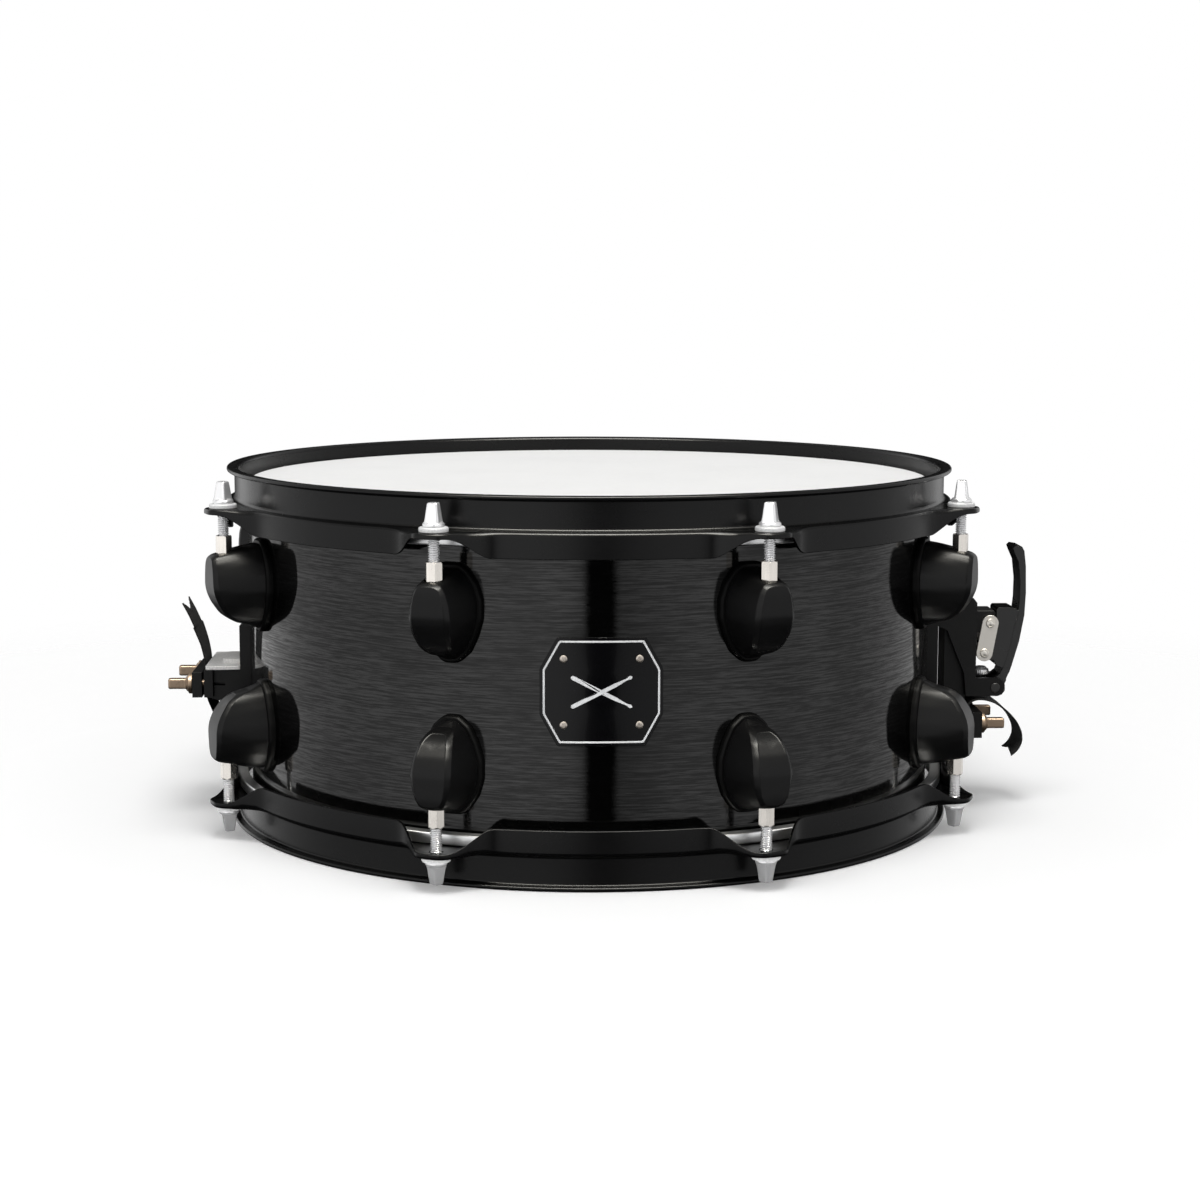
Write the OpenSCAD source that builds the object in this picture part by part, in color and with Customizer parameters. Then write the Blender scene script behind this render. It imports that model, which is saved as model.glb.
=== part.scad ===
// Snare drum, wooden shell with triple-flanged steel hoops, eight lug pairs,
// side-lever throw-off, butt plate and coiled snare wires.
// Millimetres, +Z up. Origin: drum axis, in the plane the lower hoop stands on.
// The badge faces -Y, the throw-off +X, the butt plate -X.

/* [Shell] */
// Outside diameter of the shell
shell_d = 353; // [348:1:356]
// Depth of the shell between its two bearing edges
shell_depth = 165.1; // [160:0.1:175]
// Thickness of the shell ply
ply_t = 7; // [6:0.5:8]
// Depth of the two snare beds cut in the lower edge
bed_depth = 1.6; // [1:0.1:2]
// Diameter of the air vent
vent_d = 12; // [10:0.5:14]

/* [Heads] */
// Thickness of the batter film
batter_t = 0.25; // [0.2:0.01:0.3]
// Thickness of the snare side film
resonant_t = 0.2; // [0.15:0.01:0.25]

/* [Hoops] */
// Sheet thickness of the steel hoops
hoop_t = 2; // [1.6:0.1:2.3]
// How far the rim of each hoop stands past the bearing edge
rim_rise = 7.55; // [6:0.05:9]
// Half width of an ear where it leaves the skirt
ear_root = 25; // [20:1:28]
// Half width of an ear at its tip
ear_tip = 7.6; // [7.2:0.1:9]

/* [Lugs and rods] */
// Number of lugs around each end of the shell
lug_count = 8; // [8:8]
// Diameter of a tension rod
rod_d = 5.5; // [5:0.1:6]
// Width across the square head of a tension rod
rod_head = 6.3; // [6:0.1:6.5]
// Width across the flats of a swivel nut
nut_af = 7.6; // [7.4:0.1:8.4]
// Thickness of the gasket under each lug
gasket_t = 3.2; // [2:0.1:3.4]

/* [Throw-off] */
// Width between the two cheeks of the throw-off frame
cheek_gap = 18.6; // [18:0.1:19.4]
// Thickness of each cheek
cheek_t = 2.7; // [2:0.1:3.2]
// Width of the snare straps
strap_w = 25; // [20:1:28]
// Thickness of the snare straps
strap_t = 0.8; // [0.6:0.1:0.8]

/* [Snare wires] */
// Number of wire strands
strands = 20; // [12:2:22]
// Outside diameter of one coiled strand
strand_d = 2.2; // [1.8:0.1:2.4]
// Spacing of the strands
strand_pitch = 4; // [3.6:0.1:4]

/* [Hidden] */

R = shell_d / 2;
Ri = R - ply_t;
H = shell_depth + 2 * rim_rise;
zb = rim_rise;
zt = H - rim_rise;
mid = H / 2;
rod_r = R + 19.57;
lug_step = 360 / lug_count;
fine = 96;

// ---- helpers -------------------------------------------------------------
// radial direction becomes +X, tangential +Y; angle 0 is the badge side
module polar(a) rotate([0, 0, a - 90]) children();
module round_lugs() for (i = [0:lug_count - 1]) polar(lug_step * (i + 0.5)) children();
// the lower half of the drum mirrors the upper half
module flip() translate([0, 0, H]) mirror([0, 0, 1]) children();
// profile in radius and height, swept sideways
module side_slab(pts, half) rotate([90, 0, 0]) translate([0, 0, -half]) linear_extrude(2 * half) polygon(pts);
// cylinder lying along the radius
module rad_cyl(r0, r1, d, z, y = 0) translate([r0, y, z]) rotate([0, 90, 0]) cylinder(d = d, h = r1 - r0, $fn = fine);
// cylinder lying across, along Y
module y_cyl(x, z, d, y0, y1) translate([x, y0, z]) rotate([-90, 0, 0]) cylinder(d = d, h = y1 - y0, $fn = fine);
function unit(v) = v / norm(v);
function tang(p, i) = unit(p[min(i + 1, len(p) - 1)] - p[max(i - 1, 0)]);
// outline of a ribbon of thickness t along a route of points
function ribbon(p, t) = concat(
  [for (i = [0:len(p) - 1]) p[i] + t / 2 * [-tang(p, i)[1], tang(p, i)[0]]],
  [for (i = [len(p) - 1:-1:0]) p[i] - t / 2 * [-tang(p, i)[1], tang(p, i)[0]]]);
// square drum-key shank with a rounded end
module key_square(w, h) intersection() {
  translate([-w / 2, -w / 2, 0]) cube([w, w, h]);
  union() {
    cylinder(d = w * 1.5, h = h - 0.9, $fn = fine);
    translate([0, 0, h - 0.9]) cylinder(d1 = w * 1.5, d2 = w * 0.95, h = 0.9, $fn = fine);
  }
}

// ---- shell ---------------------------------------------------------------
module shell() color([0.12, 0.12, 0.125]) difference() {
  rotate_extrude($fn = 180) polygon([
    [Ri, zb + 5.3], [R - 1.9, zb], [R - 1.5, zb], [R, zb + 1.7],
    [R, zt - 1.7], [R - 1.5, zt], [R - 1.9, zt], [Ri, zt - 5.3]]);
  // snare beds: a shallow arc across the lower edge at +X and -X
  for (s = [-1, 1]) translate([s * (R - 4) - 9, 0, zb + bed_depth - 706]) rotate([0, 90, 0]) cylinder(r = 706, h = 18, $fn = 360);
  // vent at the back
  polar(180) rad_cyl(Ri - 3, R + 3, vent_d, mid);
  // lug screw holes
  round_lugs() for (z = [mid - 46, mid - 22, mid + 22, mid + 46]) rad_cyl(Ri - 3, R + 3, 5.2, z);
  // throw-off and butt plate screw holes
  for (s = [90, -90]) polar(s) for (y = [-17, 17]) rad_cyl(Ri - 3, R + 3, 5.2, mid - 6, y);
  // badge screw pilots
  for (a = [-5.55, 5.55]) for (z = [-15.2, 15.2]) polar(a) rad_cyl(R - 4.2, R + 1, 1.7, mid + 0.5 + z);
}

// ---- badge: plain eight-sided plaque, curved to the shell ------------------
module badge() color([0.05, 0.05, 0.05]) difference() {
  intersection() {
    difference() {
      translate([0, 0, mid - 40]) cylinder(r = R + 1.1, h = 80, $fn = 180);
      translate([0, 0, mid - 41]) cylinder(r = R + 0.05, h = 82, $fn = 180);
    }
    polar(0) translate([R - 10, 0, mid + 0.5]) rotate([90, 0, 90]) linear_extrude(30)
      polygon([[-20, -25], [20, -25], [28, -10.5], [28, 10.5], [20, 25], [-20, 25], [-28, 10.5], [-28, -10.5]]);
  }
  for (a = [-5.55, 5.55]) for (z = [-15.2, 15.2]) polar(a) rad_cyl(R - 4, R + 3, 1.9, mid + 0.5 + z);
}
module badge_screws() color([0.55, 0.42, 0.28])
  for (a = [-5.55, 5.55]) for (z = [-15.2, 15.2]) polar(a) {
    rad_cyl(R - 4, R + 1.3, 1.6, mid + 0.5 + z);
    rad_cyl(R + 1.15, R + 2.0, 3.6, mid + 0.5 + z);
  }
module vent_grommet() color([0.6, 0.6, 0.6]) polar(180) difference() {
  union() {
    rad_cyl(R + 0.06, R + 1.6, vent_d + 7, mid);
    rad_cyl(Ri - 1.2, R + 0.5, vent_d - 0.1, mid);
    rad_cyl(Ri - 1.9, Ri - 0.5, vent_d + 4, mid);
  }
  rad_cyl(Ri - 5, R + 5, vent_d - 3, mid);
}

// ---- heads ---------------------------------------------------------------
module batter_head() color([0.93, 0.93, 0.92]) translate([0, 0, zt + 0.05]) cylinder(r = R - 1.3, h = batter_t, $fn = 180);
module snare_side_head() color([0.86, 0.87, 0.86]) flip() translate([0, 0, zt + 0.05]) cylinder(r = R - 1.3, h = resonant_t, $fn = 180);
// aluminium flesh hoop with the film collar it holds
module flesh_ring() rotate_extrude($fn = 180) polygon([
  [R - 1.2, zt + 0.05], [R - 1.2, zt + 0.35], [R - 0.6, zt + 0.25], [R + 0.6, zt - 1.4], [R + 1.2, zt - 4.5], [R + 2.0, H - 18.4],
  [R + 8.0, H - 18.4], [R + 8.0, H - 23.8], [R + 2.2, H - 23.8], [R + 2.2, H - 19.4],
  [R + 1.4, H - 18.6], [R + 0.8, zt - 4.5], [R + 0.3, zt - 1.5], [R - 0.8, zt + 0.05]]);
module batter_flesh_hoop() color([0.75, 0.76, 0.77]) flesh_ring();
module snare_side_flesh_hoop() color([0.75, 0.76, 0.77]) flip() flesh_ring();

// ---- triple-flanged hoops --------------------------------------------------
ho = R + 10.5;   // outside of the skirt
hw = R + 6.5;    // outside of the upright wall
module hoop_ring() rotate_extrude($fn = 180) polygon([
  [hw - hoop_t, H - 0.6], [hw - hoop_t + 0.6, H], [ho - 0.8, H], [ho - 0.2, H - 0.6], [ho - 0.2, H - 1.5], [ho - 0.8, H - 2.1],
  [hw + 0.6, H - 2.1], [hw, H - 2.7], [hw, H - 15.2], [hw + 1, H - 16.2], [ho - 1.2, H - 16.2], [ho, H - 17.4],
  [ho, H - 28.4], [ho - hoop_t, H - 28.4], [ho - hoop_t, H - 16.2 - hoop_t], [hw - hoop_t, H - 16.2 - hoop_t]]);
// one ear: a pressed beak with a flat top plate, open underneath and at its end
module ear_outer() intersection() {
  translate([0, 0, H - 29]) linear_extrude(12.8) polygon([
    [ho - 4, -ear_root - 1], [ho - 0.6, -ear_root], [ho + 7, -14.5], [ho + 15.4, -ear_tip], [ho + 17.8, -ear_tip + 2],
    [ho + 17.8, ear_tip - 2], [ho + 15.4, ear_tip], [ho + 7, 14.5], [ho - 0.6, ear_root], [ho - 4, ear_root + 1]]);
  side_slab([[ho - 4, H - 16.2], [ho + 18, H - 16.2], [ho + 18, H - 18.6], [ho + 14, H - 19.2], [ho + 10, H - 22.6], [ho + 6.4, H - 28.4], [ho - 4, H - 28.4]], 30);
}
module ear_inner() translate([0, 0, H - 40]) linear_extrude(40 - 16.2 - hoop_t) polygon([
  [ho - hoop_t - 0.3, -ear_root + 2], [ho - 0.4, -ear_root + 2.4], [ho + 6.6, -14.5 + hoop_t], [ho + 15, -ear_tip + hoop_t], [ho + 21, -ear_tip + hoop_t],
  [ho + 21, ear_tip - hoop_t], [ho + 15, ear_tip - hoop_t], [ho + 6.6, 14.5 - hoop_t], [ho - 0.4, ear_root - 2.4], [ho - hoop_t - 0.3, ear_root - 2]]);
module hoop() difference() {
  union() { hoop_ring(); round_lugs() ear_outer(); }
  round_lugs() ear_inner();
  translate([0, 0, H - 29.5]) cylinder(r = ho - hoop_t, h = 29.5 - 16.2 - hoop_t, $fn = 180);
  round_lugs() translate([rod_r, 0, H - 22]) cylinder(d = rod_d + 1.1, h = 10, $fn = fine);
}
module batter_hoop() color([0.06, 0.06, 0.065]) hoop();
module snare_side_hoop() color([0.06, 0.06, 0.065]) difference() {
  flip() hoop();
  // snare gates: windows in the upright wall for the straps
  for (a = [90, -90]) polar(a) translate([hw - 6, -32, 3.4]) cube([9, 64, 11]);
}

// ---- lugs ----------------------------------------------------------------
lug_side = [[R + 1, mid + 13.9], [R + 8, mid + 15.0], [R + 14, mid + 17.0], [R + 20.8, mid + 21.2], [R + 24.8, mid + 27.6], [R + 26.6, mid + 32], [R + 27.3, mid + 36],
  [R + 27.3, mid + 47.2], [R + 26.9, mid + 49.6], [R + 25.4, mid + 51.6], [R + 23.6, mid + 52.8], [R + 19.6, mid + 53.9], [R + 12, mid + 55], [R + 5, mid + 56], [R + 1, mid + 56.1]];
lug_plan = [[R - 8, -13.4], [R + 3.2, -13.3], [R + 14, -11.9], [R + 25.2, -9.9], [R + 27.3, -7.6],
  [R + 27.3, 7.6], [R + 25.2, 9.9], [R + 14, 11.9], [R + 3.2, 13.3], [R - 8, 13.4]];
// closed outline from half-widths and heights above the middle, bottom first
function both_sides(h) = concat([for (p = h) [p[0], mid + p[1]]], [for (i = [len(h) - 1:-1:0]) [-h[i][0], mid + h[i][1]]]);
lug_front = both_sides([[3, 14], [7.9, 18.6], [11.2, 25.4], [13.3, 33.2], [13.3, 41], [11.2, 48], [7.6, 53.6], [4.4, 56]]);
gasket_front = both_sides([[3.6, 12.1], [9.8, 16.9], [13.2, 24.5], [15.3, 32.5], [15.3, 41.5], [13.2, 49.3], [8.8, 55.6], [5, 58.2]]);
module lug_block() intersection() {
  side_slab(lug_side, 20);
  translate([0, 0, mid]) linear_extrude(70) polygon(lug_plan);
  translate([R - 10, 0, 0]) rotate([90, 0, 90]) linear_extrude(50) polygon(lug_front);
}
module upper_lugs() difference() {
  round_lugs() difference() {
    lug_block();
    // pocket for the swivel nut, open at the top
    translate([rod_r, 0, mid + 28.9]) cylinder(d = 10, h = 40, $fn = fine);
    for (z = [mid + 22, mid + 46]) rad_cyl(R - 2, R + 12, 4.9, z);
  }
  translate([0, 0, mid]) cylinder(r = R + gasket_t + 0.02, h = 70, $fn = 180);
}
module upper_lug_casings() color([0.05, 0.05, 0.05]) upper_lugs();
module lower_lug_casings() color([0.05, 0.05, 0.05]) flip() upper_lugs();
module gaskets() difference() {
  round_lugs() difference() {
    translate([R - 10, 0, 0]) rotate([90, 0, 90]) linear_extrude(14) polygon(gasket_front);
    for (z = [mid + 22, mid + 46]) rad_cyl(R - 4, R + 6, 5.4, z);
  }
  translate([0, 0, mid]) cylinder(r = R + 0.03, h = 70, $fn = 180);
  translate([0, 0, mid]) difference() { cylinder(r = R + 30, h = 70, $fn = 180); translate([0, 0, -1]) cylinder(r = R + gasket_t, h = 72, $fn = 180); }
}
module upper_lug_gaskets() color([0.04, 0.04, 0.04]) gaskets();
module lower_lug_gaskets() color([0.04, 0.04, 0.04]) flip() gaskets();
// swivel nuts: round body in the lug, hexagonal sleeve above it
module nuts() round_lugs() translate([rod_r, 0, 0]) difference() {
  union() {
    translate([0, 0, mid + 29]) cylinder(d = 9.9, h = 21.6, $fn = fine);
    translate([0, 0, mid + 50]) rotate([0, 0, 30]) cylinder(d = nut_af / cos(30), h = 10.5, $fn = 6);
  }
  translate([0, 0, mid + 25]) cylinder(d = rod_d + 0.1, h = 50, $fn = fine);
}
module upper_swivel_nuts() color([0.72, 0.7, 0.66]) nuts();
module lower_swivel_nuts() color([0.72, 0.7, 0.66]) flip() nuts();
module lug_screws() color([0.2, 0.2, 0.2]) round_lugs() for (z = [mid - 46, mid - 22, mid + 22, mid + 46]) {
  rad_cyl(Ri - 1.5, R + 11.5, 4.8, z);
  rad_cyl(Ri - 4.4, Ri - 1.3, 9, z);
}
module lug_screw_washers() color([0.7, 0.7, 0.7]) round_lugs() for (z = [mid - 46, mid - 22, mid + 22, mid + 46]) difference() {
  rad_cyl(Ri - 1.25, Ri - 0.18, 12, z);
  rad_cyl(Ri - 3, Ri + 1, 5, z);
}
module rod_washers() round_lugs() translate([rod_r, 0, H - 16.15]) difference() {
  cylinder(d = 13.5, h = 2.3, $fn = fine);
  translate([0, 0, -1]) cylinder(d = rod_d + 0.3, h = 5, $fn = fine);
}
module upper_rod_washers() color([0.95, 0.95, 0.95]) rod_washers();
module lower_rod_washers() color([0.95, 0.95, 0.95]) flip() rod_washers();

// ---- tension rods ----------------------------------------------------------
module tension_rod(i) color([0.8, 0.8, 0.8]) polar(lug_step * (i - 0.5)) translate([rod_r, 0, 0]) {
  translate([0, 0, mid + 31]) cylinder(d = rod_d, h = mid - 31 - 13, $fn = fine);
  translate([0, 0, H - 13.8]) cylinder(d = 10.2, h = 1.5, $fn = fine);
  translate([0, 0, H - 12.35]) cylinder(d1 = 10.2, d2 = 8.6, h = 0.8, $fn = fine);
  translate([0, 0, H - 11.6]) key_square(rod_head, 8.6);
}
module tension_rod_upper_1() tension_rod(1);
module tension_rod_upper_2() tension_rod(2);
module tension_rod_upper_3() tension_rod(3);
module tension_rod_upper_4() tension_rod(4);
module tension_rod_upper_5() tension_rod(5);
module tension_rod_upper_6() tension_rod(6);
module tension_rod_upper_7() tension_rod(7);
module tension_rod_upper_8() tension_rod(8);
module tension_rod_lower_1() flip() tension_rod(1);
module tension_rod_lower_2() flip() tension_rod(2);
module tension_rod_lower_3() flip() tension_rod(3);
module tension_rod_lower_4() flip() tension_rod(4);
module tension_rod_lower_5() flip() tension_rod(5);
module tension_rod_lower_6() flip() tension_rod(6);
module tension_rod_lower_7() flip() tension_rod(7);
module tension_rod_lower_8() flip() tension_rod(8);

// ---- throw-off -------------------------------------------------------------
cg = cheek_gap / 2;          // inner face of a cheek
piv = [R + 37, 61.9];        // lever pivot
pin_lo = [R + 31.2, 80.0];   // lower link pin, in the lever
pin_up = [R + 34.0, 95.9];   // upper link pin, on the carriage nose
fts_x = R + 31.4;            // axis of the fine tension screw
cheek = [[R + 1, 108], [R + 14, 110], [R + 24.5, 109.5], [R + 26.5, 107], [R + 26.5, 67],
  [R + 37.8, 67], [R + 40.6, 65.8], [R + 42.1, 63.4], [R + 42.1, 60.4], [R + 40.6, 58.3], [R + 38.4, 57.4],
  [R + 21.5, 57.4], [R + 20.3, 69.8], [R + 16, 80], [R + 11, 92.6], [R + 1, 97]];
module throwoff_frame() color([0.07, 0.07, 0.07]) difference() {
  union() {
    // base plate on the shell
    translate([R - 8, -24, 52]) cube([12, 48, 60]);
    for (s = [-1, 1]) translate([0, s * (cg + cheek_t / 2), 0]) side_slab(cheek, cheek_t / 2);
    // bridge between the cheeks and boss for the fine tension screw
    translate([R + 22.3, -cg - 1, 57.4]) cube([5.2, 2 * cg + 2, 9.6]);
    translate([fts_x, 0, 57.4]) cylinder(r = 2.9, h = 9.6, $fn = fine);
    translate([R + 27, -2.6, 57.4]) cube([4, 5.2, 9.6]);
  }
  translate([0, 0, 40]) cylinder(r = R + 0.05, h = 90, $fn = 180);
  for (y = [-17, 17]) rad_cyl(R - 2, R + 20, 4.95, mid - 6, y);
  y_cyl(piv[0], piv[1], 5.1, -30, 30);
  translate([fts_x, 0, 50]) cylinder(d = 3.7, h = 30, $fn = fine);
}
module throwoff_mount_screws() color([0.2, 0.2, 0.2]) for (y = [-17, 17]) {
  rad_cyl(Ri - 2.4, R + 3.9, 4.8, mid - 6, y);
  rad_cyl(Ri - 5.4, Ri - 2.3, 9, mid - 6, y);
}
module strainer_screw_washers() color([0.7, 0.7, 0.7]) for (a = [90, -90]) polar(a) for (y = [-17, 17]) difference() {
  rad_cyl(Ri - 2.28, Ri - 1.7, 12, mid - 6, y);
  rad_cyl(Ri - 6, Ri + 1, 5, mid - 6, y);
}
// lever: two ears on the pivot, a block that carries the link, and the long blade
blade = [[R + 42.3, 63.9], [R + 45.2, 70.2], [R + 49.7, 86.2], [R + 52.1, 100], [R + 52.6, 112], [R + 52.2, 126], [R + 51.2, 134],
  [R + 50, 136.2], [R + 46.6, 136.8], [R + 45.2, 135.4], [R + 46.2, 132.8], [R + 48.4, 128], [R + 49.6, 118], [R + 49.5, 108], [R + 48.7, 100], [R + 46.6, 92], [R + 45.2, 84], [R + 43, 76], [R + 40.2, 68.4]];
module throwoff_lever() color([0.06, 0.06, 0.06]) difference() {
  union() {
    difference() {
      side_slab(blade, 9);
      // the blade narrows towards the pivot
      for (s = [-1, 1]) translate([0, s * 15.2, 0]) side_slab([[R + 30, 50], [R + 60, 50], [R + 60, 72], [R + 30, 72]], 6.5);
    }
    side_slab([[R + 37.5, 84.5], [R + 47, 84.5], [R + 50.4, 98], [R + 50.6, 101.6], [R + 46, 104], [R + 38.3, 104], [R + 37.5, 103]], 8.6);
    side_slab([[R + 36.2, 77], [R + 37.8, 73.4], [R + 41, 72], [R + 46, 74], [R + 46, 86], [R + 36.2, 86]], 8.6);
    // tongue to the lower link pin
    y_cyl(pin_lo[0], pin_lo[1], 7.6, -8.6, 8.6);
    translate([pin_lo[0], -8.6, pin_lo[1] - 3.8]) cube([8, 17.2, 7.6]);
    for (s = [-1, 1]) translate([0, s * 6.6, 0]) {
      y_cyl(piv[0], piv[1], 8.6, -2, 2);
      side_slab([[R + 37, 66.2], [R + 40, 68.6], [R + 43.6, 70], [R + 43.4, 65], [R + 40.4, 59]], 2);
    }
  }
  y_cyl(piv[0], piv[1], 5.1, -30, 30);
  y_cyl(pin_lo[0], pin_lo[1], 4.7, -30, 30);
}
module lever_pivot_pin() color([0.15, 0.15, 0.15]) y_cyl(piv[0], piv[1], 5, -cg - cheek_t - 0.5, cg + cheek_t + 0.5);
module toggle_links() color([0.8, 0.79, 0.76]) for (s = [-1, 1]) difference() {
  translate([0, s * 9.75, 0]) {
    y_cyl(pin_lo[0], pin_lo[1], 8.5, -0.75, 0.75);
    y_cyl(pin_up[0], pin_up[1], 8.5, -0.75, 0.75);
    translate([pin_lo[0], 0, pin_lo[1]]) rotate([0, atan2(pin_up[0] - pin_lo[0], pin_up[1] - pin_lo[1]), 0])
      translate([-4.25, -0.75, 0]) cube([8.5, 1.5, norm(pin_up - pin_lo)]);
  }
  y_cyl(pin_lo[0], pin_lo[1], 4.7, -30, 30);
  y_cyl(pin_up[0], pin_up[1], 4.7, -30, 30);
}
// the lower pin runs right through; the upper ones are two stub rivets
module link_pins() color([0.85, 0.84, 0.82]) {
  y_cyl(pin_lo[0], pin_lo[1], 4.6, -11, 11);
  y_cyl(pin_up[0], pin_up[1], 4.6, -11, -8.95);
  y_cyl(pin_up[0], pin_up[1], 4.6, 8.95, 11);
}
// carriage: slides between the cheeks, nose to the links, wide jaw for the strap
module snare_carriage() color([0.09, 0.09, 0.09]) difference() {
  union() {
    side_slab([[R + 10, 50], [R + 21.6, 50], [R + 21.6, 88], [R + 24, 91], [R + 34, 90.2], [R + 36.6, 92], [R + 36.9, 101.4], [R + 36, 102.4],
      [R + 12, 102.4], [R + 10, 100]], 8.6);
    translate([R + 17.5, -25, 37.4]) cube([4.4, 50, 14]);
    translate([R + 12, -8.6, 40]) cube([7, 17.2, 12]);
  }
  for (y = [-18, 18]) rad_cyl(R + 10, R + 30, 4.3, 44.4, y);
}
module fine_tension_screw() color([0.78, 0.78, 0.78]) translate([fts_x, 0, 0]) {
  translate([0, 0, 56.8]) cylinder(d = 3.6, h = 11, $fn = fine);
  translate([0, 0, 67.4]) cylinder(d = 8.4, h = 2.8, $fn = fine);
  translate([0, 0, 70.15]) cylinder(d1 = 8.4, d2 = 5, h = 1.4, $fn = fine);
}
module throwoff_clamp_plate() color([0.08, 0.08, 0.08]) difference() {
  translate([R + 22.95, -25, 37.6]) cube([5, 50, 13.4]);
  for (y = [-18, 18]) rad_cyl(R + 10, R + 35, 4.6, 44.4, y);
}
module clamp_screw(x0, y, z) translate([x0, y, z]) rotate([0, 90, 0]) {
  translate([0, 0, -9.5]) cylinder(d = 4.2, h = 9.7, $fn = fine);
  translate([0, 0, 0.05]) cylinder(d = 10.6, h = 2.2, $fn = fine);
  translate([0, 0, 2.2]) cylinder(d1 = 9, d2 = 6.6, h = 1.4, $fn = fine);
  translate([0, 0, 3.5]) key_square(5.3, 9.1);
}
module throwoff_clamp_screws() color([0.5, 0.42, 0.35]) for (y = [-18, 18]) clamp_screw(R + 28, y, 44.4);
// woven strap: wire end plate, through the gate, up into the clamp, then the loose tail
strap_route = [[R - 29.5, 4.0], [R - 20.5, 4.1], [R - 12.5, 5.1], [R - 4.5, 5.8], [R + 3.5, 6.5], [R + 9, 8.6], [R + 12.1, 13],
  [R + 13.7, 20], [R + 15, 27.4], [R + 19.6, 32.7], [R + 22.42, 36.8], [R + 22.42, 51], [R + 23.4, 54.0], [R + 26.8, 55.6], [R + 31.5, 55.7],
  [R + 37.5, 53.8], [R + 43.5, 49.5], [R + 48.6, 44], [R + 51.6, 38], [R + 52, 33], [R + 49.9, 28.4], [R + 46.2, 25.4]];
module throwoff_strap() color([0.05, 0.05, 0.05]) difference() {
  side_slab(ribbon(strap_route, strap_t), strap_w / 2);
}

// ---- butt plate ------------------------------------------------------------
module butt_plate() color([0.07, 0.07, 0.07]) polar(-90) difference() {
  union() {
    translate([R - 8, -24, 54]) cube([12, 48, 44]);
    side_slab([[R + 2, 58], [R + 12, 58], [R + 22.5, 61], [R + 22.5, 75], [R + 2, 76.5]], 22);
    translate([R + 18, -25, 61]) cube([4.5, 50, 14]);
  }
  translate([0, 0, 40]) cylinder(r = R + 0.05, h = 90, $fn = 180);
  for (y = [-17, 17]) rad_cyl(R - 2, R + 3.99, 4.95, mid - 6, y);
  for (y = [-20, 20]) rad_cyl(R + 12, R + 30, 4.3, 67.6, y);
}
module butt_clamp_plate() color([0.08, 0.08, 0.08]) polar(-90) difference() {
  translate([R + 23.6, -25, 61]) cube([5, 50, 13]);
  for (y = [-20, 20]) rad_cyl(R + 10, R + 35, 4.6, 67.6, y);
}
module butt_clamp_screws() color([0.5, 0.42, 0.35]) polar(-90) for (y = [-20, 20]) clamp_screw(R + 28.65, y, 67.6);
butt_route = [[R - 29.5, 4.0], [R - 20.5, 4.1], [R - 12.5, 5.1], [R - 4.5, 5.8], [R + 3.5, 6.5], [R + 9, 8.6], [R + 12.1, 13],
  [R + 13.7, 20], [R + 14.8, 30], [R + 17, 45], [R + 21.6, 56], [R + 23.05, 60.5], [R + 23.05, 74.5], [R + 23.4, 79],
  [R + 25, 86.5], [R + 28, 95], [R + 31, 102], [R + 34.4, 108.4]];
module butt_strap() color([0.05, 0.05, 0.05]) polar(-90) side_slab(ribbon(butt_route, strap_t), strap_w / 2);
module butt_mount_screws() color([0.2, 0.2, 0.2]) polar(-90) for (y = [-17, 17]) {
  rad_cyl(Ri - 2.4, R + 3.9, 4.8, mid - 6, y);
  rad_cyl(Ri - 5.4, Ri - 2.3, 9, mid - 6, y);
}

// ---- snare wires -----------------------------------------------------------
wz = 5.7;
module snare_wires() color([0.78, 0.78, 0.78])
  for (i = [0:strands - 1]) translate([-(R - 31.6), (i - (strands - 1) / 2) * strand_pitch, wz]) rotate([0, 90, 0]) cylinder(d = strand_d, h = 2 * (R - 31.6), $fn = 24);
module end_plate() difference() {
  union() {
    translate([R - 31.5, -42, 5.0]) cube([9.5, 84, 1.6]);
    // rolled outer edge that the strap bears on
    y_cyl(R - 22, 5.8, 2, -42, 42);
  }
  for (y = [-12.9, 12.9]) translate([R - 25, y, 4]) cylinder(d = 2.4, h = 4, $fn = 32);
}
module snare_end_plate_throwoff() color([0.72, 0.72, 0.72]) end_plate();
module snare_end_plate_butt() color([0.72, 0.72, 0.72]) mirror([1, 0, 0]) end_plate();

shell();
badge();
badge_screws();
vent_grommet();
batter_head();
batter_flesh_hoop();
snare_side_head();
snare_side_flesh_hoop();
batter_hoop();
snare_side_hoop();
upper_lug_casings();
lower_lug_casings();
upper_lug_gaskets();
lower_lug_gaskets();
upper_swivel_nuts();
lower_swivel_nuts();
lug_screws();
lug_screw_washers();
upper_rod_washers();
lower_rod_washers();
tension_rod_upper_1();
tension_rod_upper_2();
tension_rod_upper_3();
tension_rod_upper_4();
tension_rod_upper_5();
tension_rod_upper_6();
tension_rod_upper_7();
tension_rod_upper_8();
tension_rod_lower_1();
tension_rod_lower_2();
tension_rod_lower_3();
tension_rod_lower_4();
tension_rod_lower_5();
tension_rod_lower_6();
tension_rod_lower_7();
tension_rod_lower_8();
throwoff_frame();
throwoff_mount_screws();
throwoff_lever();
lever_pivot_pin();
toggle_links();
link_pins();
snare_carriage();
fine_tension_screw();
throwoff_clamp_plate();
throwoff_clamp_screws();
throwoff_strap();
butt_plate();
butt_clamp_plate();
butt_clamp_screws();
butt_strap();
butt_mount_screws();
strainer_screw_washers();
snare_wires();
snare_end_plate_throwoff();
snare_end_plate_butt();
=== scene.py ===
import math
import bmesh
import bpy
import numpy as np
from mathutils import Matrix, Vector


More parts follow.
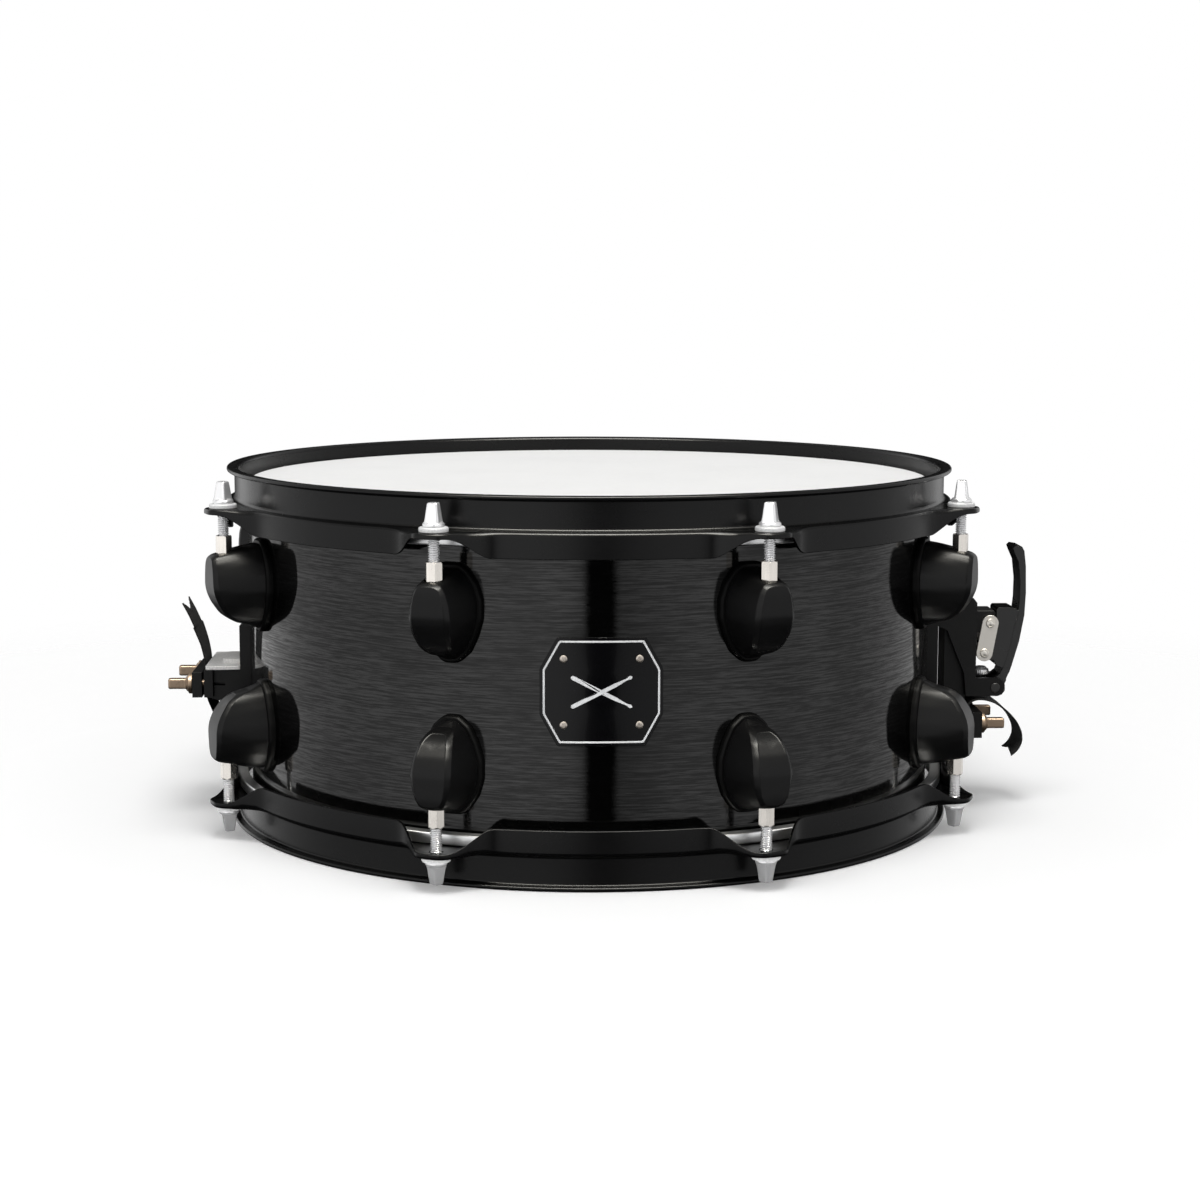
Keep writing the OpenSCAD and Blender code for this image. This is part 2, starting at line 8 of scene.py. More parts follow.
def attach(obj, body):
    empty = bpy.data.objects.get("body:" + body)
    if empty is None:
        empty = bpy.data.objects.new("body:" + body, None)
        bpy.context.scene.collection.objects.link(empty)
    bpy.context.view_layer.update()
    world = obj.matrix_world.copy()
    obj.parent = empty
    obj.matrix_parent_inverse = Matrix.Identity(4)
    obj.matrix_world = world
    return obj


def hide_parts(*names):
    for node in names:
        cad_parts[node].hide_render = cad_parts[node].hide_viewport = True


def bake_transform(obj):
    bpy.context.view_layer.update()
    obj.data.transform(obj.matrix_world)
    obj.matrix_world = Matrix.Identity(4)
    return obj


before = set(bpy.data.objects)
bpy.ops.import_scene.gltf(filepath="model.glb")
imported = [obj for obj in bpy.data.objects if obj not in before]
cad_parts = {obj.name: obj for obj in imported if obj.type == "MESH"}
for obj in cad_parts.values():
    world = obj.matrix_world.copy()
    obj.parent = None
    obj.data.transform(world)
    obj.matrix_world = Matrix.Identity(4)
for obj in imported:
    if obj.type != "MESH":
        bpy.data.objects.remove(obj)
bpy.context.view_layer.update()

MM = 0.001
R = 176.5            # shell radius, mm
H = 180.2            # overall height between the two rims, mm
MID = H / 2
ROD_R = R + 19.57
HO = R + 10.5        # outside of a hoop's skirt
HW = R + 6.5         # outside of a hoop's upright wall
rng = np.random.RandomState(7)
scene = bpy.context.scene

# ------------------------------------------------------------------ camera
CAM = Vector((-0.0387, -1.2188, 0.2805))
heading, pitch, roll = math.radians(2.084), 0.14091, -0.0019
fwd = Vector((math.sin(heading) * math.cos(pitch), math.cos(heading) * math.cos(pitch), -math.sin(pitch)))
right0 = Vector((math.cos(heading), -math.sin(heading), 0))
up0 = right0.cross(fwd)
right = right0 * math.cos(roll) - up0 * math.sin(roll)
up = up0 * math.cos(roll) + right0 * math.sin(roll)
cam_data = bpy.data.cameras.new("camera")
cam_data.sensor_fit = "HORIZONTAL"
cam_data.sensor_width = 36.0
cam_data.lens = 2343.6 / 1200 * 36.0
cam_data.clip_start = 0.05
cam_data.clip_end = 60
camera = bpy.data.objects.new("camera", cam_data)
m = Matrix((right, up, -fwd)).transposed().to_4x4()
m.translation = CAM
camera.matrix_world = m
scene.collection.objects.link(camera)
scene.camera = camera
scene.view_settings.view_transform = "Standard"
scene.view_settings.look = "None"


# ------------------------------------------------------------------ mesh helpers
def add_mesh(name, verts, faces, mat, smooth=True, sharp=None, mats=None, face_mat=None):
    """A mesh object from millimetre vertices."""
    me = bpy.data.meshes.new(name)
    v = np.asarray(verts, float) * MM
    me.from_pydata(v.tolist(), [], [list(map(int, f)) for f in faces])
    me.update()
    ob = bpy.data.objects.new(name, me)
    scene.collection.objects.link(ob)
    for mm in (mats or [mat]):
        me.materials.append(mm)
    if face_mat is not None:
        me.polygons.foreach_set("material_index", np.asarray(face_mat, np.int32))
    me.polygons.foreach_set("use_smooth", [bool(smooth)] * len(me.polygons))
    if smooth and sharp:
        me.set_sharp_from_angle(angle=math.radians(sharp))
    return ob


def grid_faces(nu, nv, close_u, close_v, off=0, flip=False):
    i = np.arange(nu if close_u else nu - 1)
    j = np.arange(nv if close_v else nv - 1)
    I, J = np.meshgrid(i, j, indexing="ij")
    I2, J2 = (I + 1) % nu, (J + 1) % nv
    f = np.stack([I * nv + J, I2 * nv + J, I2 * nv + J2, I * nv + J2], -1).reshape(-1, 4) + off
    return f[:, ::-1] if flip else f


def fix_normals(ob):
    bm = bmesh.new()
    bm.from_mesh(ob.data)
    bmesh.ops.recalc_face_normals(bm, faces=bm.faces)
    bm.to_mesh(ob.data)
    bm.free()
    ob.data.update()


class Soup:
    """Collects several grids into one mesh."""

    def __init__(self):
        self.v, self.f, self.m, self.n = [], [], [], 0

    def grid(self, P, close_u=False, close_v=False, mat=0, flip=False):
        P = np.asarray(P, float)
        nu, nv = P.shape[:2]
        fs = grid_faces(nu, nv, close_u, close_v, self.n, flip)
        self.v.append(P.reshape(-1, 3))
        self.f.extend(fs.tolist())
        self.m.extend([mat] * len(fs))
        self.n += nu * nv
        return self.n - nu * nv

    def poly(self, pts, faces, mat=0):
        pts = np.asarray(pts, float)
        self.v.append(pts)
        self.f.extend([[int(k) + self.n for k in f] for f in faces])
        self.m.extend([mat] * len(faces))
        self.n += len(pts)

    def rings(self, rings, mat=0, cap0=True, cap1=True):
        """Closed rings of equal length joined one to the next, with the first and last capped."""
        P = np.asarray(rings, float)
        o = self.grid(P, False, True, mat)
        nu, nv = P.shape[:2]
        if cap0:
            self.f.append([o + k for k in range(nv)][::-1])
            self.m.append(mat)
        if cap1:
            self.f.append([o + (nu - 1) * nv + k for k in range(nv)])
            self.m.append(mat)

    def moved(self, M):
        M = np.asarray(M, float)
        s = Soup()
        s.v = [np.concatenate(self.v) @ M[:3, :3].T + M[:3, 3]]
        s.f, s.m, s.n = [list(f) for f in self.f], list(self.m), self.n
        return s

    def add(self, other):
        for f in other.f:
            self.f.append([k + self.n for k in f])
        self.m.extend(other.m)
        self.v.extend(other.v)
        self.n += other.n

    def make(self, name, mats, smooth=True, sharp=None, weld=0.0):
        mats = mats if isinstance(mats, (list, tuple)) else [mats]
        ob = add_mesh(name, np.concatenate(self.v), self.f, None, smooth, None, mats, self.m)
        bm = bmesh.new()
        bm.from_mesh(ob.data)
        if weld:
            bmesh.ops.remove_doubles(bm, verts=bm.verts, dist=weld * MM)
        bmesh.ops.recalc_face_normals(bm, faces=bm.faces)
        bm.to_mesh(ob.data)
        bm.free()
        if smooth and sharp:
            ob.data.set_sharp_from_angle(angle=math.radians(sharp))
        ob.data.update()
        return ob


def polar_matrix(a_deg, dz=0.0):
    """Local +X is radial and +Y tangential, as in the CAD source; 0 degrees is the badge side."""
    a = math.radians(a_deg - 90)
    M = np.eye(4)
    M[:2, :2] = [[math.cos(a), -math.sin(a)], [math.sin(a), math.cos(a)]]
    M[2, 3] = dz
    return M


FLIP = np.diag([1.0, 1.0, -1.0, 1.0])
FLIP[2, 3] = H
LUG_ANGLES = [45 * (i + 0.5) for i in range(8)]


def fillet(pts, radii, n=5, closed=True):
    """Rounds the corners of a 2D polygon."""
    pts = [np.array(p, float) for p in pts]
    out = []
    N = len(pts)
    for i, p in enumerate(pts):
        r = radii[i] if hasattr(radii, "__len__") else radii
        if not closed and i in (0, N - 1) or r <= 0:
            out.append(p)
            continue
        a, b = pts[i - 1] - p, pts[(i + 1) % N] - p
        la, lb = np.linalg.norm(a), np.linalg.norm(b)
        a, b = a / la, b / lb
        ang = math.acos(max(-1, min(1, float(a @ b))))
        if ang > math.pi - 0.02:
            out.append(p)
            continue
        d = min(r / math.tan(ang / 2), 0.49 * la, 0.49 * lb)
        rr = d * math.tan(ang / 2)
        c = p + (a + b) / np.linalg.norm(a + b) * (rr / math.sin(ang / 2))
        s, e = p + a * d - c, p + b * d - c
        a0, a1 = math.atan2(s[1], s[0]), math.atan2(e[1], e[0])
        da = (a1 - a0 + math.pi) % (2 * math.pi) - math.pi
        for k in range(n + 1):
            t = a0 + da * k / n
            out.append(c + rr * np.array([math.cos(t), math.sin(t)]))
    return np.array(out)


def resample(pts, n, closed=True):
    p = np.asarray(pts, float)
    if closed:
        p = np.vstack([p, p[:1]])
    d = np.r_[0, np.cumsum(np.linalg.norm(np.diff(p, axis=0), axis=1))]
    t = np.linspace(0, d[-1], n + 1)[:-1] if closed else np.linspace(0, d[-1], n)
    return np.stack([np.interp(t, d, p[:, k]) for k in range(p.shape[1])], -1)


def lathe_grid(profile, angles):
    """(nu, nv, 3) grid; profile holds radius and height."""
    prof = np.asarray(profile, float)
    a = np.asarray(angles)[:, None]
    return np.stack([prof[None, :, 0] * np.sin(a), -prof[None, :, 0] * np.cos(a), np.broadcast_to(prof[None, :, 1], (len(angles), len(prof)))], -1)


def lathe_local(profile, n=48):
    """Closed body of revolution about local Z from an open profile of (radius, height)."""
    prof = np.asarray(profile, float)
    a = np.linspace(0, 2 * np.pi, n, endpoint=False)[:, None]
    return np.stack([prof[None, :, 0] * np.cos(a), prof[None, :, 0] * np.sin(a), np.broadcast_to(prof[None, :, 1], (n, len(prof)))], -1)


def boolean_cut(ob, cutter):
    mod = ob.modifiers.new("cut", "BOOLEAN")
    mod.operation = "DIFFERENCE"
    mod.solver = "EXACT"
    mod.object = cutter
    dg = bpy.context.evaluated_depsgraph_get()
    dg.update()
    me = bpy.data.meshes.new_from_object(ob.evaluated_get(dg))
    ob.modifiers.clear()
    ob.data = me
    bpy.data.objects.remove(cutter, do_unlink=True)
    return ob


def refined(name, node, mats, bevel=0.45, angle=28, seg=3, keep=None):
    """A finished copy of a CAD node: flat facets merged, edges rounded, normals clean."""
    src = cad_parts[node]
    bm = bmesh.new()
    bm.from_mesh(src.data)
    bmesh.ops.remove_doubles(bm, verts=bm.verts, dist=2e-6)
    bmesh.ops.dissolve_limit(bm, angle_limit=math.radians(1.2), use_dissolve_boundaries=False, verts=bm.verts, edges=bm.edges)
    if keep is not None:
        drop = [v for v in bm.verts if not keep(v.co / MM)]
        bmesh.ops.delete(bm, geom=drop, context="VERTS")
    if bevel:
        bm.edges.ensure_lookup_table()
        es = [e for e in bm.edges if len(e.link_faces) == 2 and e.calc_face_angle(0) > math.radians(angle)]
        bmesh.ops.bevel(bm, geom=es, offset=bevel * MM, offset_type="OFFSET", segments=seg, profile=0.5, affect="EDGES", clamp_overlap=True)
    bmesh.ops.recalc_face_normals(bm, faces=bm.faces)
    me = bpy.data.meshes.new(name)
    bm.to_mesh(me)
    bm.free()
    ob = bpy.data.objects.new(name, me)
    scene.collection.objects.link(ob)
    for mm in (mats if isinstance(mats, (list, tuple)) else [mats]):
        me.materials.append(mm)
    me.polygons.foreach_set("use_smooth", [True] * len(me.polygons))
    me.set_sharp_from_angle(angle=math.radians(40))
    wn = ob.modifiers.new("normals", "WEIGHTED_NORMAL")
    wn.keep_sharp = True
    wn.weight = 60
    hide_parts(node)
    return ob


# ------------------------------------------------------------------ materials
def material(name):
    m = bpy.data.materials.new(name)
    m.use_nodes = True
    nt = m.node_tree
    b = nt.nodes["Principled BSDF"]
    return m, nt, b


def node(nt, kind, **inputs):
    n = nt.nodes.new(kind)
    for k, v in inputs.items():
        if k.startswith("p_"):
            setattr(n, k[2:], v)
        else:
            n.inputs[k.replace("_", " ")].default_value = v
    return n


def coords(nt, scale=(1, 1, 1), cylinder=False):
    """Object coordinates in metres, or around-the-drum coordinates: arc length, height, radius."""
    tc = nt.nodes.new("ShaderNodeTexCoord")
    if not cylinder:
        mp = node(nt, "ShaderNodeMapping", Scale=scale)
        nt.links.new(tc.outputs["Object"], mp.inputs["Vector"])
        return mp.outputs["Vector"]
    sep = nt.nodes.new("ShaderNodeSeparateXYZ")
    nt.links.new(tc.outputs["Object"], sep.inputs[0])
    at = node(nt, "ShaderNodeMath", p_operation="ARCTAN2")
    nt.links.new(sep.outputs["X"], at.inputs[0])
    nt.links.new(sep.outputs["Y"], at.inputs[1])
    arc = node(nt, "ShaderNodeMath", p_operation="MULTIPLY")
    arc.inputs[1].default_value = 0.1765
    nt.links.new(at.outputs[0], arc.inputs[0])
    ln = node(nt, "ShaderNodeVectorMath", p_operation="LENGTH")
    cx = nt.nodes.new("ShaderNodeCombineXYZ")
    nt.links.new(sep.outputs["X"], cx.inputs["X"])
    nt.links.new(sep.outputs["Y"], cx.inputs["Y"])
    nt.links.new(cx.outputs[0], ln.inputs[0])
    out = nt.nodes.new("ShaderNodeCombineXYZ")
    nt.links.new(arc.outputs[0], out.inputs["X"])
    nt.links.new(sep.outputs["Z"], out.inputs["Y"])
    nt.links.new(ln.outputs["Value"], out.inputs["Z"])
    mp = node(nt, "ShaderNodeMapping", Scale=scale)
    nt.links.new(out.outputs[0], mp.inputs["Vector"])
    return mp.outputs["Vector"]


def ramp(nt, fac, stops, interp="LINEAR"):
    r = nt.nodes.new("ShaderNodeValToRGB")
    cr = r.color_ramp
    cr.interpolation = interp
    while len(cr.elements) < len(stops):
        cr.elements.new(0.5)
    for e, (p, c) in zip(cr.elements, stops):
        e.position = p
        e.color = (c, c, c, 1) if not hasattr(c, "__len__") else (*c, 1)
    nt.links.new(fac, r.inputs["Fac"])
    return r.outputs["Color"]


def noise(nt, vec, scale, detail=4, rough=0.55, dist=0.0):
    n = node(nt, "ShaderNodeTexNoise", Scale=scale, Detail=detail, Roughness=rough, Distortion=dist)
    nt.links.new(vec, n.inputs["Vector"])
    return n.outputs["Fac"]


def maprange(nt, fac, a, b, c, d):
    n = node(nt, "ShaderNodeMapRange", From_Min=a, From_Max=b, To_Min=c, To_Max=d)
    nt.links.new(fac, n.inputs["Value"])
    return n.outputs["Result"]


def bump(nt, b, height, strength, distance, coat=False, chain=None):
    n = node(nt, "ShaderNodeBump", Strength=strength, Distance=distance)
    nt.links.new(height, n.inputs["Height"])
    if chain is not None:
        nt.links.new(chain, n.inputs["Normal"])
    nt.links.new(n.outputs["Normal"], b.inputs["Normal"])
    if coat:
        nt.links.new(n.outputs["Normal"], b.inputs["Coat Normal"])
    return n.outputs["Normal"]


def mat_shell():
    m, nt, b = material("black_stain_lacquer")
    v = coords(nt, (1, 1, 1), cylinder=True)
    mp = node(nt, "ShaderNodeMapping", Scale=(42, 1250, 1))
    nt.links.new(v, mp.inputs["Vector"])
    wave = node(nt, "ShaderNodeMapping", Scale=(14, 60, 1))
    nt.links.new(v, wave.inputs["Vector"])
    nz = node(nt, "ShaderNodeTexNoise", Scale=1.0, Detail=3.0, Roughness=0.5)
    nt.links.new(wave.outputs[0], nz.inputs["Vector"])
    warp = node(nt, "ShaderNodeVectorMath", p_operation="MULTIPLY_ADD")
    nt.links.new(nz.outputs["Color"], warp.inputs[0])
    warp.inputs[1].default_value = (0.4, 2.2, 0)
    nt.links.new(mp.outputs[0], warp.inputs[2])
    fibre = noise(nt, warp.outputs[0], 1.0, 6, 0.62)
    fine = node(nt, "ShaderNodeMapping", Scale=(130, 2900, 1))
    nt.links.new(v, fine.inputs["Vector"])
    hair = noise(nt, fine.outputs[0], 1.0, 3, 0.6)
    mix = node(nt, "ShaderNodeMath", p_operation="MULTIPLY")
    nt.links.new(fibre, mix.inputs[0])
    nt.links.new(maprange(nt, hair, 0.3, 0.75, 0.75, 1.3), mix.inputs[1])
    pores = ramp(nt, mix.outputs[0], [(0.0, 0.0), (0.40, 0.05), (0.50, 0.45), (0.62, 0.95), (1.0, 1.0)])
    blotch = noise(nt, v, 22, 3, 0.5)
    mul = node(nt, "ShaderNodeMath", p_operation="MULTIPLY")
    nt.links.new(pores, mul.inputs[0])
    nt.links.new(maprange(nt, blotch, 0.3, 0.7, 0.55, 1.25), mul.inputs[1])
    base = ramp(nt, mul.outputs[0], [(0.0, (0.0001, 0.0001, 0.00012)), (0.45, (0.0002, 0.0002, 0.00024)), (1.0, (0.0011, 0.0011, 0.0013))])
    nt.links.new(base, b.inputs["Base Color"])
    b.inputs["Roughness"].default_value = 0.42
    b.inputs["Specular IOR Level"].default_value = 0.02
    b.inputs["Coat Roughness"].default_value = 0.006
    b.inputs["Coat IOR"].default_value = 1.5
    nt.links.new(maprange(nt, mul.outputs[0], 0.10, 0.8, 0.50, 1.0), b.inputs["Coat Weight"])
    bump(nt, b, mul.outputs[0], 0.022, 0.0002, coat=True)
    return m


def mat_wood_inside():
    m, nt, b = material("maple_inside")
    v = coords(nt, cylinder=True)
    mp = node(nt, "ShaderNodeMapping", Scale=(9, 160, 1))
    nt.links.new(v, mp.inputs["Vector"])
    g = noise(nt, mp.outputs[0], 1.0, 7, 0.6, 0.4)
    fine = node(nt, "ShaderNodeMapping", Scale=(50, 2200, 1))
    nt.links.new(v, fine.inputs["Vector"])
    h = noise(nt, fine.outputs[0], 1.0, 3, 0.6)
    add = node(nt, "ShaderNodeMath", p_operation="MULTIPLY")
    nt.links.new(g, add.inputs[0])
    nt.links.new(maprange(nt, h, 0.2, 0.8, 0.8, 1.2), add.inputs[1])
    nt.links.new(ramp(nt, add.outputs[0], [(0.25, (0.36, 0.23, 0.12)), (0.5, (0.56, 0.40, 0.23)), (0.75, (0.66, 0.50, 0.31))]), b.inputs["Base Color"])
    nt.links.new(maprange(nt, h, 0.2, 0.8, 0.36, 0.5), b.inputs["Roughness"])
    bump(nt, b, add.outputs[0], 0.15, 0.0002)
    return m


def mat_ply_edge():
    m, nt, b = material("ply_edge")
    v = coords(nt, cylinder=True)
    sep = nt.nodes.new("ShaderNodeSeparateXYZ")
    nt.links.new(v, sep.inputs[0])
    mu = node(nt, "ShaderNodeMath", p_operation="MULTIPLY")
    mu.inputs[1].default_value = 1000.0
    nt.links.new(sep.outputs["Z"], mu.inputs[0])
    fr = node(nt, "ShaderNodeMath", p_operation="FRACT")
    nt.links.new(mu.outputs[0], fr.inputs[0])
    nz = noise(nt, v, 420, 4, 0.6)
    sh = node(nt, "ShaderNodeMath", p_operation="ADD")
    nt.links.new(fr.outputs[0], sh.inputs[0])
    nt.links.new(maprange(nt, nz, 0.0, 1.0, -0.12, 0.12), sh.inputs[1])
    nt.links.new(ramp(nt, sh.outputs[0], [(0.0, (0.30, 0.19, 0.10)), (0.12, (0.58, 0.42, 0.25)), (0.5, (0.62, 0.46, 0.29)), (0.52, (0.46, 0.31, 0.17)), (0.95, (0.50, 0.35, 0.2)), (1.0, (0.28, 0.17, 0.09))]), b.inputs["Base Color"])
    b.inputs["Roughness"].default_value = 0.5
    bump(nt, b, nz, 0.2, 0.0002)
    return m


def mat_coat(name, base, rough, spec=0.5, orange=0.25, grain=2600, coat=0.0, coat_rough=0.1, wear=0.0):
    """Painted or powder-coated metal: fine texture in colour, gloss and height."""
    m, nt, b = material(name)
    v = coords(nt)
    n1 = noise(nt, v, grain, 3, 0.6)
    n2 = noise(nt, v, 45, 4, 0.55)
    mixn = node(nt, "ShaderNodeMath", p_operation="MULTIPLY")
    nt.links.new(maprange(nt, n1, 0.25, 0.75, 0.82, 1.18), mixn.inputs[0])
    nt.links.new(maprange(nt, n2, 0.25, 0.75, 0.86, 1.14), mixn.inputs[1])
    lo = tuple(c * 0.7 for c in base)
    hi = tuple(min(1, c * 1.35) for c in base)
    nt.links.new(ramp(nt, maprange(nt, mixn.outputs[0], 0.7, 1.35, 0, 1), [(0.0, lo), (0.5, base), (1.0, hi)]), b.inputs["Base Color"])
    nt.links.new(maprange(nt, n2, 0.2, 0.8, rough * 0.88, min(1, rough * 1.14)), b.inputs["Roughness"])
    b.inputs["Specular IOR Level"].default_value = spec
    if coat:
        b.inputs["Coat Weight"].default_value = coat
        b.inputs["Coat Roughness"].default_value = coat_rough
    bump(nt, b, n1, orange, 0.00006)
    return m


def mat_metal(name, color, rough, aniso=0.0, scratch=0.1, tint=0.06, streak=(900, 900, 60)):
    """Plated or bare metal with polish lines and slight tarnish."""
    m, nt, b = material(name)
    v = coords(nt)
    mp = node(nt, "ShaderNodeMapping", Scale=streak)
    nt.links.new(v, mp.inputs["Vector"])
    n1 = noise(nt, mp.outputs[0], 1.0, 5, 0.65)
    n2 = noise(nt, v, 130, 4, 0.6)
    lo = tuple(c * (1 - 3 * tint) for c in color)
    hi = tuple(min(1.0, c * (1 + tint)) for c in color)
    mixn = node(nt, "ShaderNodeMath", p_operation="MULTIPLY")
    nt.links.new(maprange(nt, n1, 0.2, 0.8, 0.7, 1.2), mixn.inputs[0])
    nt.links.new(maprange(nt, n2, 0.2, 0.8, 0.75, 1.2), mixn.inputs[1])
    nt.links.new(ramp(nt, maprange(nt, mixn.outputs[0], 0.45, 1.45, 0, 1), [(0.0, lo), (0.45, color), (1.0, hi)]), b.inputs["Base Color"])
    b.inputs["Metallic"].default_value = 1.0
    nt.links.new(maprange(nt, mixn.outputs[0], 0.5, 1.4, rough * 1.35, rough * 0.8), b.inputs["Roughness"])
    if aniso:
        b.inputs["Anisotropic"].default_value = aniso
    bump(nt, b, n1, scratch, 0.00004)
    return m


def mat_film(name, color, coated=True, alpha=1.0):
    m, nt, b = material(name)
    v = coords(nt)
    n1 = noise(nt, v, 3200 if coated else 900, 3, 0.7)
    n2 = noise(nt, v, 26, 5, 0.55)
    n3 = noise(nt, v, 420, 4, 0.6)
    mixn = node(nt, "ShaderNodeMath", p_operation="MULTIPLY")
    nt.links.new(maprange(nt, n2, 0.3, 0.7, 0.985, 1.012), mixn.inputs[0])
    nt.links.new(maprange(nt, n3, 0.3, 0.7, 0.985, 1.015), mixn.inputs[1])
    lo = tuple(c * 0.93 for c in color)
    hi = tuple(min(1.0, c * 1.04) for c in color)
    nt.links.new(ramp(nt, maprange(nt, mixn.outputs[0], 0.95, 1.05, 0, 1), [(0.0, lo), (0.5, color), (1.0, hi)]), b.inputs["Base Color"])
    nt.links.new(maprange(nt, n3, 0.2, 0.8, 0.55, 0.72) if coated else maprange(nt, n3, 0.2, 0.8, 0.16, 0.3), b.inputs["Roughness"])
    b.inputs["Specular IOR Level"].default_value = 0.35 if coated else 0.5
    if alpha < 1:
        b.inputs["Alpha"].default_value = alpha
    bump(nt, b, n1, 0.35 if coated else 0.05, 0.00008)
    return m


def mat_webbing():
    """Plain-weave ribbon: ribs across and along, from the ribbon's own UV in metres."""
    m, nt, b = material("ribbon_webbing")
    uv = node(nt, "ShaderNodeUVMap", p_uv_map="ribbon")
    mp = node(nt, "ShaderNodeMapping", Scale=(1, 1, 1))
    nt.links.new(uv.outputs[0], mp.inputs["Vector"])
    w1 = node(nt, "ShaderNodeTexWave", Scale=300.0, Distortion=0.6, Detail=1.0, p_wave_type="BANDS", p_bands_direction="X")
    w2 = node(nt, "ShaderNodeTexWave", Scale=420.0, Distortion=0.5, Detail=1.0, p_wave_type="BANDS", p_bands_direction="Y")
    nt.links.new(mp.outputs[0], w1.inputs["Vector"])
    nt.links.new(mp.outputs[0], w2.inputs["Vector"])
    mul = node(nt, "ShaderNodeMath", p_operation="MULTIPLY")
    nt.links.new(w1.outputs["Fac"], mul.inputs[0])
    nt.links.new(w2.outputs["Fac"], mul.inputs[1])
    fuzz = noise(nt, coords(nt), 1800, 4, 0.7)
    mm_ = node(nt, "ShaderNodeMath", p_operation="MULTIPLY")
    nt.links.new(mul.outputs[0], mm_.inputs[0])
    nt.links.new(maprange(nt, fuzz, 0.2, 0.8, 0.6, 1.3), mm_.inputs[1])
    nt.links.new(ramp(nt, mm_.outputs[0], [(0.0, (0.0012, 0.0012, 0.0013)), (0.4, (0.0036, 0.0036, 0.0039)), (1.0, (0.016, 0.016, 0.0168))]), b.inputs["Base Color"])
    b.inputs["Roughness"].default_value = 0.82
    b.inputs["Specular IOR Level"].default_value = 0.2
    b.inputs["Sheen Weight"].default_value = 0.05
    b.inputs["Sheen Roughness"].default_value = 0.5
    bump(nt, b, mm_.outputs[0], 0.8, 0.00025)
    return m


M_SHELL = mat_shell()
M_INSIDE = mat_wood_inside()
M_PLY = mat_ply_edge()
M_HOOP = mat_coat("hoop_satin_black", (0.0016, 0.0016, 0.0018), 0.26, spec=0.215, orange=0.10, grain=2400)
M_LUG = mat_coat("lug_satin_black", (0.0028, 0.0028, 0.0031), 0.35, spec=0.20, orange=0.14, grain=2600)
M_CAST = mat_coat("strainer_black", (0.0028, 0.0028, 0.003), 0.36, spec=0.24, orange=0.22, grain=2300)
M_LEVER = mat_coat("lever_gloss_black", (0.0014, 0.0014, 0.0016), 0.28, spec=0.2, orange=0.06, grain=1800, coat=0.8, coat_rough=0.05)
M_OXIDE = mat_coat("black_oxide", (0.012, 0.012, 0.012), 0.38, spec=0.5, orange=0.2, grain=1700)
M_RUBBER = mat_coat("gasket_rubber", (0.0007, 0.0007, 0.0008), 0.44, spec=0.09, orange=0.3, grain=1500)
M_CHROME = mat_metal("rod_chrome", (0.93, 0.93, 0.94), 0.2, scratch=0.12, tint=0.05)
# satin plating: part of it scatters, so it stays bright where it faces the floor
next(n for n in M_CHROME.node_tree.nodes if n.type == "BSDF_PRINCIPLED").inputs["Metallic"].default_value = 0.62
M_NICKEL = mat_metal("nut_nickel", (0.80, 0.76, 0.71), 0.24, scratch=0.12, tint=0.05)
M_LINK = mat_metal("link_nickel", (0.78, 0.75, 0.70), 0.3, scratch=0.2, tint=0.05, streak=(120, 120, 900))
M_ZINC = mat_metal("zinc_plate", (0.72, 0.73, 0.75), 0.3, scratch=0.2, tint=0.06, streak=(600, 600, 600))
M_ALU = mat_metal("flesh_hoop_aluminium", (0.84, 0.845, 0.85), 0.3, scratch=0.15, tint=0.03, streak=(40, 40, 1800))
M_WIRE = mat_metal("snare_wire_steel", (0.77, 0.77, 0.78), 0.22, scratch=0.1, tint=0.04, streak=(900, 900, 900))
M_BRONZE = mat_metal("bronze_plate", (0.30, 0.225, 0.165), 0.38, scratch=0.35, tint=0.16, streak=(700, 700, 700))
M_COVER = mat_coat("bracket_silver", (0.74, 0.73, 0.715), 0.34, spec=0.6, orange=0.1, grain=1500)
M_PIN = mat_metal("screw_antique_nickel", (0.50, 0.455, 0.41), 0.32, scratch=0.3, tint=0.14, streak=(700, 700, 700))
M_NYLON = mat_coat("nylon_white", (0.80, 0.80, 0.80), 0.42, spec=0.4, orange=0.12, grain=1200)
M_HEAD = mat_film("batter_coating", (0.87, 0.868, 0.86))
M_CLEAR = mat_film("snare_side_film", (0.80, 0.81, 0.805), coated=False, alpha=0.5)
M_STRAP = mat_webbing()
M_BADGE = mat_coat("badge_enamel", (0.0022, 0.0022, 0.0027), 0.14, spec=0.12, orange=0.04, grain=900, coat=0.1, coat_rough=0.03)
M_BADGE_LINE = mat_coat("badge_line", (0.74, 0.75, 0.76), 0.38, spec=0.5, orange=0.1, grain=1500)


# ------------------------------------------------------------------ placing
def copies(ob, name, mats4):
    """One mesh with transformed copies of a mesh object, which is then removed. Matrices in millimetres."""
    me = ob.data
    co = np.empty(len(me.vertices) * 3)
    me.vertices.foreach_get("co", co)
    co = co.reshape(-1, 3) / MM
    faces = [list(p.vertices) for p in me.polygons]
    idx = np.array([p.material_index for p in me.polygons])
    V, F, K, n = [], [], [], 0
    for M in mats4:
        M = np.asarray(M, float)
        V.append(co @ M[:3, :3].T + M[:3, 3])
        if np.linalg.det(M[:3, :3]) < 0:
            F.extend([[k + n for k in f[::-1]] for f in faces])
        else:
            F.extend([[k + n for k in f] for f in faces])
        K.append(idx)
        n += len(co)
    new = add_mesh(name, np.concatenate(V), F, None, True, None, list(me.materials), np.concatenate(K))
    bpy.data.objects.remove(ob, do_unlink=True)
    return new


